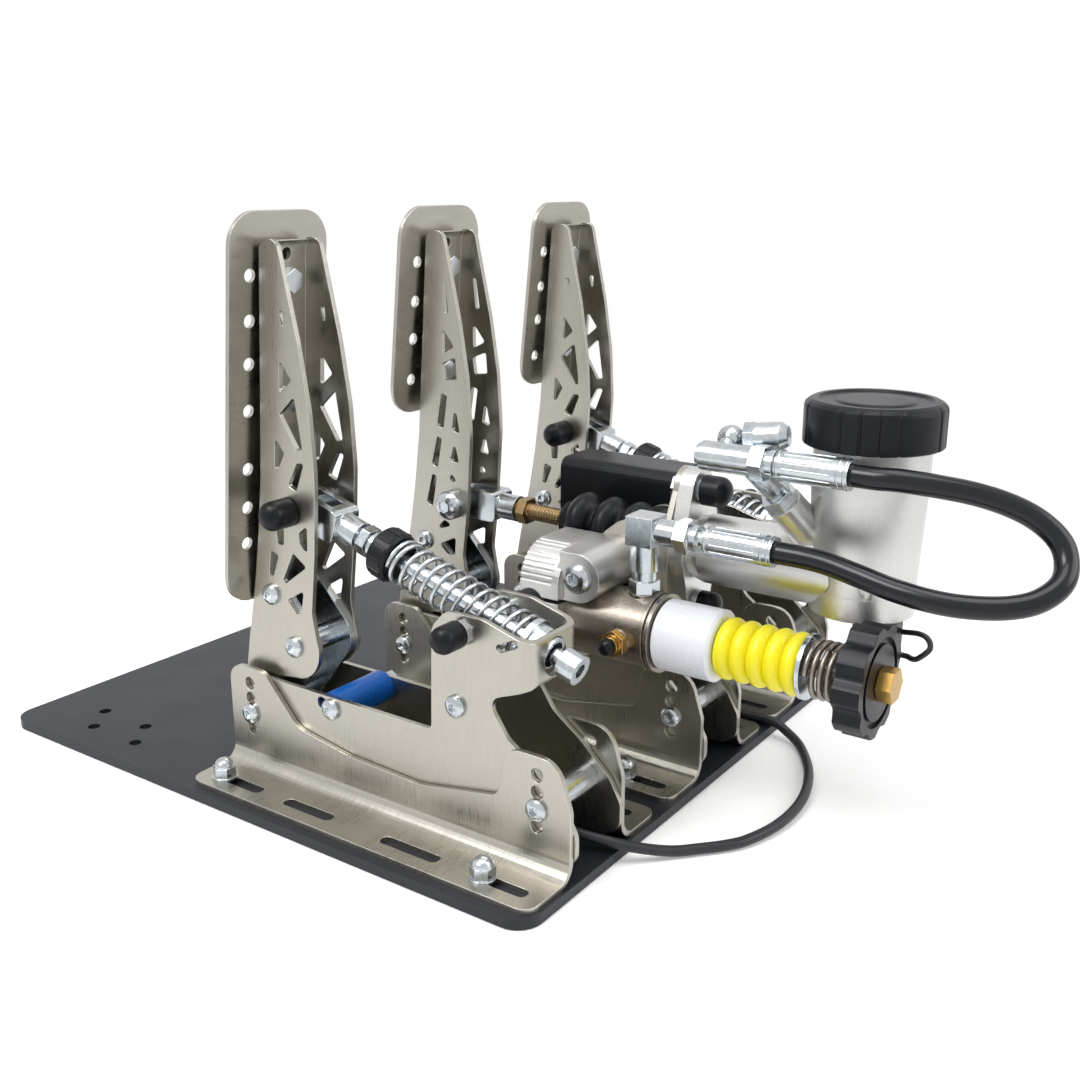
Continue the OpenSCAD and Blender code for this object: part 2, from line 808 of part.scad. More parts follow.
// Pedal arm: a tapering channel whose walls are cut to a lattice
lobe_front = bolt_b[0] + lobe_r;
arm_outline = concat(
    with_radius(back_line, 30),
    [[pivot[0] - pivot_lobe, 48, 20], [pivot[0] - pivot_lobe, pivot[1] - pivot_lobe, 10],
     [pivot[0] + pivot_lobe, pivot[1] - pivot_lobe, 10], [-7.5, 45, 10], [-2.5, 55.8, 4],
     [bolt_b[0], bolt_b[1] - lobe_r, 0], [lobe_front, bolt_b[1], 0], [20.4, 92, 12], [24.2, 122, 40],
     [26.8, 160, 60], [25.2, 190, 60], [20.5, 220, 60], [10.6, arm_top, 5]]);
side_holes = [
    [[9.5, 234], [12.4, 222.5], [12.4, 234]],
    [[8.3, 212.5], [15.4, 203], [7.2, 196.3]],
    [[6.2, 186.8], [16.5, 196], [20, 172], [16.3, 171]],
    [[2.4, 176], [8.1, 168.6], [1.2, 156.5]],
    [[15.8, 165], [20.6, 165.5], [14.8, 151.5], [9.2, 153.5]],
    [[-0.2, 131.5], [5, 132.2], [4.4, 124], [0.4, 123.6]],
    [[14.6, 131.4], [20.4, 136], [19.6, 121.5], [15, 126.6]],
    [[-5, 120], [0.3, 118], [-4, 107.4], [-7, 106.9]],
    [[10.2, 121], [18.6, 115.2], [3.6, 104.4], [2.4, 106.4]],
    [[4.4, 96.4], [16.1, 103.3], [13.6, 91.6], [10.4, 90.4]]
];
brake_holes = [
    [[9.5, 240], [11.6, 239], [13.8, 223], [11, 224]],
    [[9, 216], [17, 206], [9, 202]],
    [[8.6, 197], [17.6, 200.5], [18.4, 189], [9.8, 188]],
    [[7.6, 181], [11.6, 180], [8.8, 162], [4.4, 163]],
    [[16.8, 176], [20, 160], [14.4, 162]],
    [[4.2, 157.5], [7.4, 156], [4.2, 140], [0, 141.5]],
    [[16.2, 156], [19, 144], [13, 145]],
    [[0.2, 136], [3.4, 135], [0, 117.5], [-4.2, 119.5]],
    [[13, 138.6], [17.6, 133.4], [12.4, 133.4]],
    [[1.6, 104.6], [8, 111.2], [13.6, 108.6]],
    [[4.4, 96.8], [15.8, 102.4], [15, 92.4], [10, 91.4]]
];
module arm_channel(holes, pin) {
    difference() {
        union() {
            side(outline(arm_outline), -arm_hw, arm_hw);
            across(bolt_b, lobe_r, -arm_hw, arm_hw);
        }
        side([for (p = outline(arm_outline)) [p[0] + arm_t, p[1]]], -arm_in, arm_in);
        across(bolt_b, lobe_r + 1, -arm_in, arm_in);
        translate([-arm_in, -60, 0])
            cube([2 * arm_in, 120, web_foot]);
        translate([-arm_in, back_line[0][0] + arm_t, arm_top - 1])
            cube([2 * arm_in, 30, 3]);
        for (h = holes)
            side(outline(with_radius(h, 1.1)), -arm_hw - 1, arm_hw + 1);
        for (z = web_slots)
            along(0, z, 2.8, -20, 5);
        for (z = pad_bolt_z)
            facing([0, pad_y(z), z], pad_normal)
                cylinder(r = m6_hole, h = 14);
        for (p = [bolt_a, bolt_b])
            across(p, m6_hole, -arm_hw - 1, arm_hw + 1);
        across(pin, pin_r + seat_gap, -arm_hw - 1, arm_hw + 1);
        across(pivot, hub_r + seat_gap, -arm_hw - 1, arm_hw + 1);
    }
}
module throttle_arm() {
    color(steel)
        unit(x_throttle)
            arm_channel(side_holes, pin_side);
}
module clutch_arm() {
    color(steel)
        unit(x_clutch)
            arm_channel(side_holes, pin_side);
}
module brake_arm() {
    color(steel)
        unit(x_brake)
            arm_channel(brake_holes, pin_brake);
}

// Yoke inside the arm's foot: two cheeks on a bearing tube, with a spacer at the lower bolt
yoke_pivot_r = 10;
yoke_a_r = 8;
yoke_b_r = 14;
cheek_t = 2.5;
cheek_links = [[pivot, yoke_pivot_r, bolt_b, yoke_b_r], [bolt_b, yoke_b_r, bolt_a, yoke_a_r],
    [bolt_a, yoke_a_r, pivot, yoke_pivot_r]];
function cheek_side(k) = belt(cheek_links[k][0], cheek_links[k][1], cheek_links[k][2], cheek_links[k][3]);
cheek_outline = [for (k = [0:2]) each
    arc(cheek_links[k][2], cheek_side(k)[2], cheek_side((k + 1) % 3)[3], 10)];
module cheek(x0) {
    side(cheek_outline, x0, x0 + cheek_t);
}
module yoke(x) {
    color(zinc)
        unit(x)
            difference() {
                union() {
                    both_sides()
                        cheek(arm_in - cheek_t);
                    across(pivot, hub_r, play - tub_in, tub_in - play);
                    across(bolt_b, 6, -arm_in, arm_in);
                }
                across(pivot, m6_r + fit, -tub_hw, tub_hw);
                for (p = [bolt_a, bolt_b])
                    across(p, m6_hole, -arm_in - 1, arm_in + 1);
            }
}
module throttle_yoke() {
    yoke(x_throttle);
}
module clutch_yoke() {
    yoke(x_clutch);
}
module brake_yoke() {
    yoke(x_brake);
}

// Pads, laid out in their own leaning plane
pad_normal = [0, cos(pad_lean), -sin(pad_lean)];
function pad_y(z) = pad_at[0] + (z - pad_at[1]) * tan(pad_lean);
function back_y(z) = lookup(z, [for (i = [len(back_line) - 1:-1:0]) [back_line[i][1], back_line[i][0]]]);
function up_pad(z) = (z - pad_at[1]) / cos(pad_lean);
module in_pad_plane() {
    translate([0, pad_at[0], pad_at[1]])
        rotate([90 - pad_lean, 0, 0])
            children();
}
module pad(x, w, foot) {
    corner_r = w / 4;
    color(steel)
        unit(x)
            in_pad_plane()
                difference() {
                    linear_extrude(pad_t)
                        polygon(outline([
                            [-w / 2, up_pad(foot), corner_r], [w / 2, up_pad(foot), corner_r],
                            [w / 2, up_pad(pad_top), corner_r], [-w / 2, up_pad(pad_top), corner_r]]));
                    for (s = [-1, 1], z = pad_holes)
                        if (z > foot + 14)
                            translate([s * pad_hole_x, up_pad(z), -1])
                                cylinder(r = pad_hole_r, h = pad_t + 2);
                    for (z = pad_bolt_z)
                        translate([0, up_pad(z), -1])
                            cylinder(r = m6_hole, h = pad_t + 2);
                }
}
module throttle_pad() {
    pad(x_throttle, pad_w, long_pad_foot);
}
module clutch_pad() {
    pad(x_clutch, pad_w, short_pad_foot);
}
module brake_pad() {
    pad(x_brake, brake_pad_w, short_pad_foot);
}

// Bolts of one pedal: through the yoke, through the pad with its spacers, and the clevis pin
module pad_bolts() {
    for (z = pad_bolt_z) {
        gap = (back_y(z) - pad_y(z)) * cos(pad_lean);
        facing([0, pad_y(z), z], pad_normal) {
            translate([0, 0, -pad_t])
                cylinder(r = m6_r, h = pad_t + gap + arm_t + 5);
            cylinder(r = washer_r, h = gap - play);
            translate([0, 0, gap + arm_t + play])
                cylinder(r = nut_r, h = nut_h, $fn = 6);
            translate([0, 0, -pad_t])
                mirror([0, 0, 1])
                    button_head();
        }
    }
}
module pedal_bolts(pin) {
    through_bolt(bolt_a, arm_hw);
    through_bolt(bolt_b, arm_hw);
    pad_bolts();
    both_sides()
        across(pin, 6, fork_w / 2 + play, arm_in - seat_gap);
    across(pin, pin_r, -arm_hw - 2.4, arm_hw + 8);
    across(pin, 6.4, -arm_hw - 2.4, -arm_hw);
}
module throttle_arm_bolts() {
    color(zinc)
        unit(x_throttle)
            pedal_bolts(pin_side);
}
module clutch_arm_bolts() {
    color(zinc)
        unit(x_clutch)
            pedal_bolts(pin_side);
}
module brake_arm_bolts() {
    color(zinc)
        unit(x_brake) {
            pedal_bolts(pin_brake);
            across(pin_brake, 8, arm_hw, arm_hw + 2);
            head_right(pin_brake, arm_hw + 2, 8, 7);
        }
}
module pin_cap(x) {
    color(black)
        unit(x)
            cap_right(pin_side, arm_hw + 1, 7, 15, pin_r, 8);
}
module throttle_pin_cap() {
    pin_cap(x_throttle);
}
module clutch_pin_cap() {
    pin_cap(x_clutch);
}

// Clevis: a square fork with a turned neck, pointing up Z from its pin
module clevis() {
    half = fork_w / 2;
    difference() {
        union() {
            side(outline([[-half, -half, half - 0.2], [half, -half, half - 0.2], [half, 23, 3], [-half, 23, 3]]),
                -half, half);
            cylinder(r = half - 1, h = fork_l);
        }
        translate([-fork_gap / 2, -half - 2, -half - 2])
            cube([fork_gap, fork_w + 4, 26]);
        across([0, 0], pin_r + fit, -fork_w, fork_w);
    }
}
module throttle_clevis() {
    color(zinc)
        unit(x_throttle)
            on_rod()
                clevis();
}
module clutch_clevis() {
    color(zinc)
        unit(x_clutch)
            on_rod()
                clevis();
}

// Rod through the spring, with its jam nut, sleeve and socket head
module jam_nut_on_rod() {
    translate([0, 0, jam_nut[0]])
        cylinder(r = 7.5, h = jam_nut[1] - jam_nut[0], $fn = 6);
}
module spring_rod() {
    translate([0, 0, fork_l])
        cylinder(d = rod_d, h = rod_head_s - fork_l);
    jam_nut_on_rod();
    translate([0, 0, rod_sleeve[0]])
        cylinder(r = 6.6, h = rod_sleeve[1] - rod_sleeve[0]);
    translate([0, 0, rod_head_s])
        difference() {
            cylinder(r = rod_head_r, h = rod_head_l);
            translate([0, 0, rod_head_l - 4.5])
                cylinder(r = 3.5, h = 5, $fn = 6);
        }
}
module throttle_rod() {
    color(zinc)
        unit(x_throttle)
            on_rod()
                spring_rod();
}
module clutch_rod() {
    color(zinc)
        unit(x_clutch)
            on_rod()
                spring_rod();
}
module collar(x) {
    bore = rod_d / 2 + seat_gap;
    color(black)
        unit(x)
            on_rod()
                translate([0, 0, collar_s])
                    rotate_extrude()
                        polygon([
                            [bore, 0], [collar_d / 2 - 1.4, 0], [collar_d / 2, 1.4],
                            [collar_d / 2, collar_l - 1], [collar_d / 2 - 1, collar_l], [bore, collar_l]]);
}
module throttle_collar() {
    collar(x_throttle);
}
module clutch_collar() {
    collar(x_clutch);
}
module return_spring(x) {
    color(zinc)
        unit(x)
            on_rod()
                translate([0, 0, collar_s + collar_l + seat_gap])
                    coil(spring_l, spring_d, spring_wire, spring_curls, 1);
}
module throttle_spring() {
    return_spring(x_throttle);
}
module clutch_spring() {
    return_spring(x_clutch);
}

// Brake push rod into the master cylinder, and the boot round it
module on_brake_rod() {
    translate([x_brake, pin_brake[0], pin_brake[1]])
        rotate([-90 - brake_slope, 0, 0])
            children();
}
module brake_clevis() {
    color(zinc)
        on_brake_rod()
            clevis();
}
module brake_rod() {
    tip = 1.5;
    color(gold_zinc)
        on_brake_rod() {
            translate([0, 0, fork_l])
                cylinder(d = rod_d, h = brake_rod_l - tip - fork_l);
            translate([0, 0, brake_rod_l - tip])
                cylinder(d1 = rod_d, d2 = rod_d - 2 * tip, h = tip);
            jam_nut_on_rod();
        }
}
function fold(y) = [
    [boot_valley, y], [boot_valley + 1, y + 1.6], [boot_r - 0.9, y + 6], [boot_r, y + 8],
    [boot_r - 0.9, y + 10], [boot_valley + 1, y + 14.6]];
module brake_boot() {
    neck = rod_d / 2 + play;
    cuff = spigot_r + 0.4;
    wall = 1.4;
    outer = concat(
        [[neck, boot_y[0]], [neck + 3, boot_y[0]], [neck + 3.4, boot_y[0] + 4]],
        [for (k = [0:boot_folds - 1]) each fold(boot_y[0] + 6 + k * fold_pitch)],
        [[boot_valley + 0.6, spigot_y - 6.5], [cuff + wall, spigot_y - 2], [cuff + wall, boot_y[1]]]);
    inner = [[cuff, boot_y[1]], [cuff, spigot_y - 1], [9, spigot_y - 5], [9, boot_y[0] + 7], [neck, boot_y[0] + 4]];
    color(black)
        on_brake_rod()
            translate([0, 0, -pin_brake[0]])
                rotate_extrude()
                    polygon(concat(outer, inner));
}

// Bent mount that carries the master cylinder on the brake tub
module master_mount() {
    upper = master_z + flange_pitch / 2;
    color(steel)
        difference() {
            union() {
                front([[-tub_hw, mount_z], [tub_hw, mount_z], [tub_hw, upper - 18], [ear_r, upper],
                    [-ear_r, upper], [-tub_hw, upper - 18]], mount_y[0], mount_y[1]);
                along(0, upper, ear_r, mount_y[0], mount_y[1]);
                both_sides()
                    translate([tab_x[0], tab_y, mount_z])
                        cube([tab_x[1] - tab_x[0], mount_y[0] - tab_y + eps, tab_top - mount_z]);
            }
            along(0, master_z, spigot_r + play, mount_y[0] - 1, mount_y[1] + 1);
            for (s = [-1, 1])
                along(0, master_z + s * flange_pitch / 2, m6_hole, mount_y[0] - 1, mount_y[1] + 1);
            for (p = tab_bolts)
                across(p, m6_hole, -tub_hw, tub_hw);
        }
}

// Master cylinder casting: spigot, flange, barrel, the reservoir's foot and the outlet boss
module master_cylinder() {
    ear = flange_pitch / 2;
    barrel_r = barrel_d / 2;
    color(alloy)
        difference() {
            union() {
                along(0, master_z, spigot_r, spigot_y, flange_y[0] + 1);
                along(0, master_z, flange_r, flange_y[0], flange_y[1]);
                for (s = [-1, 1]) {
                    along(0, master_z + s * ear, ear_r, flange_y[0], flange_y[1]);
                    translate([0, 0, master_z])
                        front(belt([0, 0], flange_r, [0, s * ear], ear_r), flange_y[0], flange_y[1]);
                }
                turned_along(0, master_z, [
                    [0, flange_y[1] - 1], [barrel_r - 2, flange_y[1] - 1], [barrel_r, flange_y[1] + 6],
                    [barrel_r, barrel_end - 3], [barrel_r - 3, barrel_end], [0, barrel_end]]);
                translate([reservoir_at[0], reservoir_at[1], casting_z[0]])
                    cylinder(r = reservoir_foot_r, h = casting_z[1] - casting_z[0]);
                facing(boss_foot, boss_way)
                    translate([0, 0, -boss_root])
                        cylinder(r = boss_r, h = boss_root + boss_l);
            }
            along(0, master_z, piston_r + fit, spigot_y - 1, piston_bore_end);
            for (s = [-1, 1])
                along(0, master_z + s * ear, m6_hole, flange_y[0] - 1, flange_y[1] + 1);
            facing(boss_foot, boss_way)
                translate([0, 0, boss_l - 8])
                    cylinder(r = 3, h = 20);
        }
}
module master_piston() {
    color(alloy)
        difference() {
            along(0, master_z, piston_r, piston_y[0], piston_y[1]);
            for (y = [piston_y[0] + 10, piston_y[1] - 6])
                turned_along(0, master_z, [
                    [piston_r - 1, y], [piston_r + 1, y], [piston_r + 1, y + 2.5], [piston_r - 1, y + 2.5]]);
        }
}

// Fluid reservoir, saddled over the barrel, and its screw cap
module reservoir() {
    rim_r = reservoir_d / 2;
    color(alloy)
        difference() {
            translate([reservoir_at[0], reservoir_at[1], 0])
                rotate_extrude()
                    polygon([
                        [0, casting_z[1]], [reservoir_foot_r, casting_z[1]], [reservoir_foot_r + 0.4, 126],
                        [rim_r, 158], [rim_r, reservoir_rim], [rim_r - reservoir_wall, reservoir_rim],
                        [rim_r - reservoir_wall, 158], [reservoir_foot_r - 4, reservoir_floor],
                        [0, reservoir_floor]]);
            along(0, master_z, barrel_d / 2 + seat_gap, reservoir_at[1] - 30, barrel_end + seat_gap);
            facing(boss_foot, boss_way)
                translate([0, 0, -boss_root])
                    cylinder(r = boss_r + seat_gap, h = 40);
        }
}
module reservoir_cap() {
    rib = 0.9;
    lid = 2.4;
    cap_r = cap_d / 2;
    color(black)
        translate([reservoir_at[0], reservoir_at[1], 0])
            difference() {
                union() {
                    translate([0, 0, cap_z[0]])
                        linear_extrude(cap_z[1] - lid - cap_z[0])
                            polygon([for (k = [0:cap_ribs - 1], e = [[0, 0], [0.3, 0], [0.42, 1], [0.88, 1]])
                                let (a = 360 * (k + e[0]) / cap_ribs, depth = k % 4 == 0 ? rib : rib / 3)
                                (cap_r - depth * e[1]) * [cos(a), sin(a)]]);
                    translate([0, 0, cap_z[1] - lid])
                        rotate_extrude()
                            polygon([[0, 0], [cap_r - 1, 0], [cap_r - 1.4, 1.2], [cap_r - 3, lid], [0, lid]]);
                }
                translate([0, 0, cap_z[0] - 1])
                    cylinder(r = reservoir_d / 2 + play, h = reservoir_rim + play - cap_z[0] + 1);
            }
}

// Plated fittings: the port adapter on the boss and the elbow on the slave cylinder, each with a hose end
module hose_end(x, z, from, ferrule_from) {
    along_hex(x, z, 8.6, from, from + hex_l);
    along(x, z, 6.2, from + hex_l, from + hex_l + 4);
    along(x, z, 4.4, from + hex_l, ferrule_from);
    along(x, z, ferrule_r, ferrule_from, ferrule_from + ferrule_l);
}
module port_adapter() {
    reach = [sensor_foot[0] - port_x, 0, sensor_foot[2] - port_z];
    facing(boss_foot + boss_l * boss_way, boss_way) {
        cylinder(r = 8.2, h = 6.5, $fn = 6);
        cylinder(r = 5, h = 24);
    }
    along(port_x, port_z, port_r, port_y[0] + 2, port_y[1]);
    along(port_x, port_z, port_r - 1.2, port_y[0], port_y[0] + 2.1);
    facing([port_x, sensor_foot[1], port_z], reach)
        cylinder(r = 4.5, h = norm(reach));
    translate(sensor_foot)
        sphere(r = sensor_hex[0] - play);
}
module slave_elbow() {
    translate([slave_x, elbow_y, slave_pad_z])
        cylinder(r = 7.4, h = 6, $fn = 6);
    translate([slave_x, elbow_y, slave_pad_z])
        cylinder(r = 5.8, h = elbow_z - slave_pad_z);
    translate([slave_x, elbow_y, slave_pad_z + 11])
        cylinder(r = elbow_r, h = elbow_z - slave_pad_z - 11);
    translate([slave_x - elbow_r, elbow_y - elbow_r, elbow_z - elbow_r])
        cube(2 * elbow_r);
    along(slave_x, elbow_z, 6.2, elbow_y, lower_ferrule_y - 14);
}
module hose_fittings() {
    color(zinc) {
        port_adapter();
        hose_end(port_x, port_z, port_y[1], ferrule_y);
        slave_elbow();
        hose_end(slave_x, elbow_z, lower_ferrule_y - 14.5, lower_ferrule_y);
    }
}
module pressure_sensor() {
    color(zinc)
        facing(sensor_foot, sensor_way) {
            translate([0, 0, sensor_hex[0]])
                cylinder(r = 7.2, h = sensor_hex[1] - sensor_hex[0], $fn = 6);
            translate([0, 0, sensor_hex[1]])
                cylinder(r = 6.8, h = sensor_end[0] - sensor_hex[1]);
            translate([0, 0, sensor_end[0]])
                cylinder(r1 = 6.8, r2 = 4.5, h = sensor_end[1] - sensor_end[0]);
        }
}
module brake_hose() {
    color(black)
        tube(smooth(hose_points, 2), hose_d / 2, 12);
}

// Slave cylinder with its gland and centre rod
module slave_cylinder() {
    color(dark_steel) {
        difference() {
            union() {
                along(slave_x, slave_z, slave_d / 2, slave_y[0], slave_y[1]);
                along(slave_x, slave_z, gland_r - 1.6, slave_y[1] - 2, gland_y[1]);
                for (y = [gland_y[0], gland_y[0] + 3])
                    along(slave_x, slave_z, gland_r, y, y + 2);
                translate([slave_x, elbow_y, slave_z])
                    cylinder(r = 7.2, h = slave_pad_z - slave_z);
                across(bleed_at, 6, slave_x, bleed_x);
            }
            along(slave_x, slave_z, stem_r + play, stem_bore_y, gland_y[1] + 1);
        }
        along(slave_x, slave_z, core_r, stem_bore_y - 6, core_head_y[0]);
    }
    color(brass)
        along_hex(slave_x, slave_z, 8, core_head_y[0], core_head_y[1]);
}

// Clamp that hangs the slave cylinder on the brake tub, grooved round its outer corner
module slave_clamp() {
    back = tub_hw + seat_gap;
    band = outline([
        [back, 68, 2], [25, 63, 4], [38, 61, 16], [52, 64, 10], [band_x, 76, 10],
        [band_x, clamp_top, band_r], [back, clamp_top, 1]]);
    groove_r = 0.8;
    color(alloy)
        difference() {
            union() {
                front(band, band_y[0], band_y[1]);
                across(pinch_at, pinch_boss_r, back, clamp_x);
                translate([back, band_y[1] - 1, pinch_at[1] - pinch_boss_r])
                    cube([clamp_x - back, pinch_at[0] - band_y[1] + 1, 2 * pinch_boss_r]);
            }
            along(slave_x, slave_z, slave_d / 2 + seat_gap, slave_y[0] - 1, pinch_at[0] + 20);
            along(slave_x, slave_z, slave_d / 2 - 5, band_y[0] - 1, slave_y[0]);
            translate([slave_x + 12, band_y[0] - 1, slave_z + 11])
                cube([20, 50, 2]);
            across(pinch_at, m6_hole, 0, clamp_x + 1);
            for (a = [8:9:84])
                along(band_x - band_r + (band_r + 0.3) * cos(a), clamp_top - band_r + (band_r + 0.3) * sin(a),
                    groove_r, band_y[0] - 1, band_y[1] - 4);
        }
}
module bleed_screw() {
    color(brass) {
        across_hex(bleed_at, 6.6, bleed_x, bleed_x + bleed_l[0]);
        across(bleed_at, 4.6, bleed_x + bleed_l[0], bleed_x + bleed_l[1]);
        across(bleed_at, 1.5, bleed_x + bleed_l[1], bleed_x + bleed_l[2]);
    }
}
module slave_plunger() {
    rim = plunger_d / 2;
    color(white)
        difference() {
            union() {
                along(slave_x, slave_z, stem_r, stem_y, sleeve_y[0] + 1);
                turned_along(slave_x, slave_z, [
                    [0, sleeve_y[0]], [rim - 1, sleeve_y[0]], [rim, sleeve_y[0] + 1],
                    [rim, sleeve_y[1] - 1.5], [rim - 1.5, sleeve_y[1]], [0, sleeve_y[1]]]);
            }
            along(slave_x, slave_z, core_r + play, stem_y - 1, sleeve_y[1] + 1);
        }
}
module elastomer_stack() {
    disc_pitch = (stack_y[1] - stack_y[0] + seat_gap) / disc_count;
    disc_l = disc_pitch - seat_gap;
    rim = disc_d / 2;
    bore = core_r + play;
    color(yellow)
        for (k = [0:disc_count - 1])
            translate([0, stack_y[0] + k * disc_pitch, 0])
                turned_along(slave_x, slave_z, [
                    [bore, 0], [rim - 1.8, 0], [rim - 1.2, disc_l * 0.12], [rim - 0.2, disc_l * 0.32],
                    [rim, disc_l * 0.5], [rim - 0.2, disc_l * 0.68], [rim - 1.2, disc_l * 0.88],
                    [rim - 1.8, disc_l], [bore, disc_l]]);
}
module stack_washer() {
    color(zinc)
        difference() {
            along(slave_x, slave_z, disc_d / 2 + 0.4, washer_y[0], washer_y[1]);
            along(slave_x, slave_z, core_r + play, washer_y[0] - 1, washer_y[1] + 1);
        }
}
module preload_spring() {
    color(dark_steel)
        translate([slave_x, knob_spring_y[0], slave_z])
            rotate([-90, 0, 0])
                coil(knob_spring_l, knob_spring_d, knob_spring_wire, knob_spring_curls, 0);
}
module preload_knob() {
    waist = 2.6;
    rim = knob_d / 2;
    color(black)
        difference() {
            union() {
                along(slave_x, slave_z, disc_d / 2 + 0.4, knob_washer_y[0], knob_washer_y[1]);
                translate([slave_x, 0, slave_z])
                    front([for (a = [0:2.5:359])
                        let (dip = max(0, 0.35 - cos(a * knob_lobes)) / 1.35)
                        (rim - waist * dip) * [cos(a), sin(a)]], knob_y[0], knob_y[1]);
            }
            along(slave_x, slave_z, core_r + fit, knob_washer_y[0] - 1, knob_y[1] + 1);
            turned_along(slave_x, slave_z, [
                [rim - 8, knob_y[1] - 1.6], [rim - 5, knob_y[1] - 1.6], [rim - 5, knob_y[1] + 1],
                [rim - 8, knob_y[1] + 1]]);
        }
}

// Controller box and the bent shelf that carries it
module controller_box() {
    color(black)
        front(outline([
            [box_x[0], box_z[0], box_r / 3], [box_x[1], box_z[0], box_r / 3],
            [box_x[1], box_z[1], box_r], [box_x[0], box_z[1], box_r]]), box_y[0], box_y[1]);
}
module controller_shelf() {
    wall_x = -tub_hw - shelf_t;
    color(coated)
        difference() {
            union() {
                translate([wall_x, shelf_y[0], shelf_z])
                    cube([shelf_t, shelf_y[1] - shelf_y[0], box_z[0] - shelf_z]);
                translate([box_x[0], shelf_y[0], box_z[0] - shelf_t])
                    cube([wall_x - box_x[0] + eps, shelf_l, shelf_t]);
            }
            across(tower_bolt, m6_hole, wall_x - 1, 0);
        }
}

// Cables and the plug
module loom_cable() {
    color(coated)
        tube(smooth(loom_points, 2), loom_d / 2, 8);
}
module sensor_lead() {
    color(coated)
        tube(smooth(lead_points, 2), lead_d / 2, 8);
}
module sensor_plug() {
    color(black)
        side(outline([
            [plug_y[0], plug_z[0] + 6, 2], [plug_y[0] + 6, plug_z[0], 2], [plug_y[1], plug_z[0], 2],
            [plug_y[1], plug_z[1], 1], [plug_y[0], plug_z[1], 1]]), plug_x[0], plug_x[1]);
}

base_plate();
throttle_brackets();
brake_brackets();
clutch_brackets();
floor_screws();
throttle_tub();
brake_tub();
clutch_tub();
pivot_axles();
frame_bolts();
tub_spacers();
stop_rollers();
bolt_caps();
spring_seats();
throttle_arm();
throttle_yoke();
throttle_pad();
throttle_arm_bolts();
throttle_pin_cap();
throttle_clevis();
throttle_rod();
throttle_collar();
throttle_spring();
clutch_arm();
clutch_yoke();
clutch_pad();
clutch_arm_bolts();
clutch_pin_cap();
clutch_clevis();
clutch_rod();
clutch_collar();
clutch_spring();
brake_arm();
brake_yoke();
brake_pad();
brake_arm_bolts();
brake_clevis();
brake_rod();
brake_boot();
master_mount();
master_cylinder();
master_piston();
reservoir();
reservoir_cap();
hose_fittings();
pressure_sensor();
brake_hose();
slave_cylinder();
slave_clamp();
bleed_screw();
slave_plunger();
elastomer_stack();
stack_washer();
preload_spring();
preload_knob();
controller_box();
controller_shelf();
loom_cable();
sensor_plug();
sensor_lead();
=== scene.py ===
import json
import math

import bpy
from mathutils import Matrix, Vector


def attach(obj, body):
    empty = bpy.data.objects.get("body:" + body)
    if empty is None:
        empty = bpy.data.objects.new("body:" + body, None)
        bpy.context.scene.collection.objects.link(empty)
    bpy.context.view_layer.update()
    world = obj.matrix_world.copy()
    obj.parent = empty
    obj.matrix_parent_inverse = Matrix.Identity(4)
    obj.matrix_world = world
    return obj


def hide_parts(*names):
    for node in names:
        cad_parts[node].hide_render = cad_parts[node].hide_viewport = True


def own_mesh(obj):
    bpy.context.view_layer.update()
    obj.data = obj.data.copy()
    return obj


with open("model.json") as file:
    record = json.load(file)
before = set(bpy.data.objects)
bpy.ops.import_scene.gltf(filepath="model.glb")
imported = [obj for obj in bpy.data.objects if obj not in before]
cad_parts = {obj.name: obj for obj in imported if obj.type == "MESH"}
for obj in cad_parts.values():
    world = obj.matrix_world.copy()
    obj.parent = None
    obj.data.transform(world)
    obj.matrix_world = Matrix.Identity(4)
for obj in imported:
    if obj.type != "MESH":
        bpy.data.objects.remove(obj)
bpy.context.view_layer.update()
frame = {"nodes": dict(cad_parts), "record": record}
MM = 0.001

# Places are in millimetres: pins [Y, Z], the slave cylinder's line [X, Z] and the reservoir [X, Y]. The
# slopes are in radians. Each rod's thread shows between two places along it.
UNITS = {"throttle": 115, "clutch": -115}
ROD_SLOPE = math.radians(17.6)
ROD_PIN = (9, 141)
ROD_R = 4.0
BRAKE_PIN = (14.5, 121)
BRAKE_SLOPE = math.atan(3 / 135.5)
SLAVE = (38, 85)
RESERVOIR = (-6, 238)
THREAD_SHOWN = {"throttle": (41.2, 46.4), "clutch": (41.2, 46.4), "brake": (41.4, 62.6)}

# Points that the cords run through
HOSE = [
    (30, 243, 171), (30, 253, 171), (28, 263, 171), (23, 277, 169.5), (17, 291, 167), (12, 304, 163),
    (9, 315, 157.5), (9, 324, 150), (13, 328, 142), (20, 328, 135.5), (28, 322, 130), (34, 312, 127),
    (39, 298, 126), (41.5, 284, 126.5), (42, 268, 128.5), (41, 252, 131.5), (39, 238, 133.5), (38, 226, 134),
    (38, 214, 134)]
LOOM = [
    (112, 140, 15), (112, 147, 15), (109.5, 158, 12.6), (105.5, 168, 10.4), (101, 177, 8.4), (93, 186, 5.4),
    (84, 194, 3), (75, 202, 2.6), (66, 210, 2.6), (56, 216, 2.6), (38, 221, 2.6), (18, 222, 2.6),
    (-2, 219, 2.6), (-22, 212, 2.6), (-38, 203, 2.6), (-50, 194, 2.8), (-56, 185, 4.6), (-57.5, 176, 7.7),
    (-57.5, 158, 7.7), (-57.5, 140, 7.7), (-57.5, 126, 8.6), (-56.5, 117, 16), (-53, 113, 32),
    (-49, 112, 56), (-45, 112, 82), (-43, 112, 104), (-43, 112, 116)]
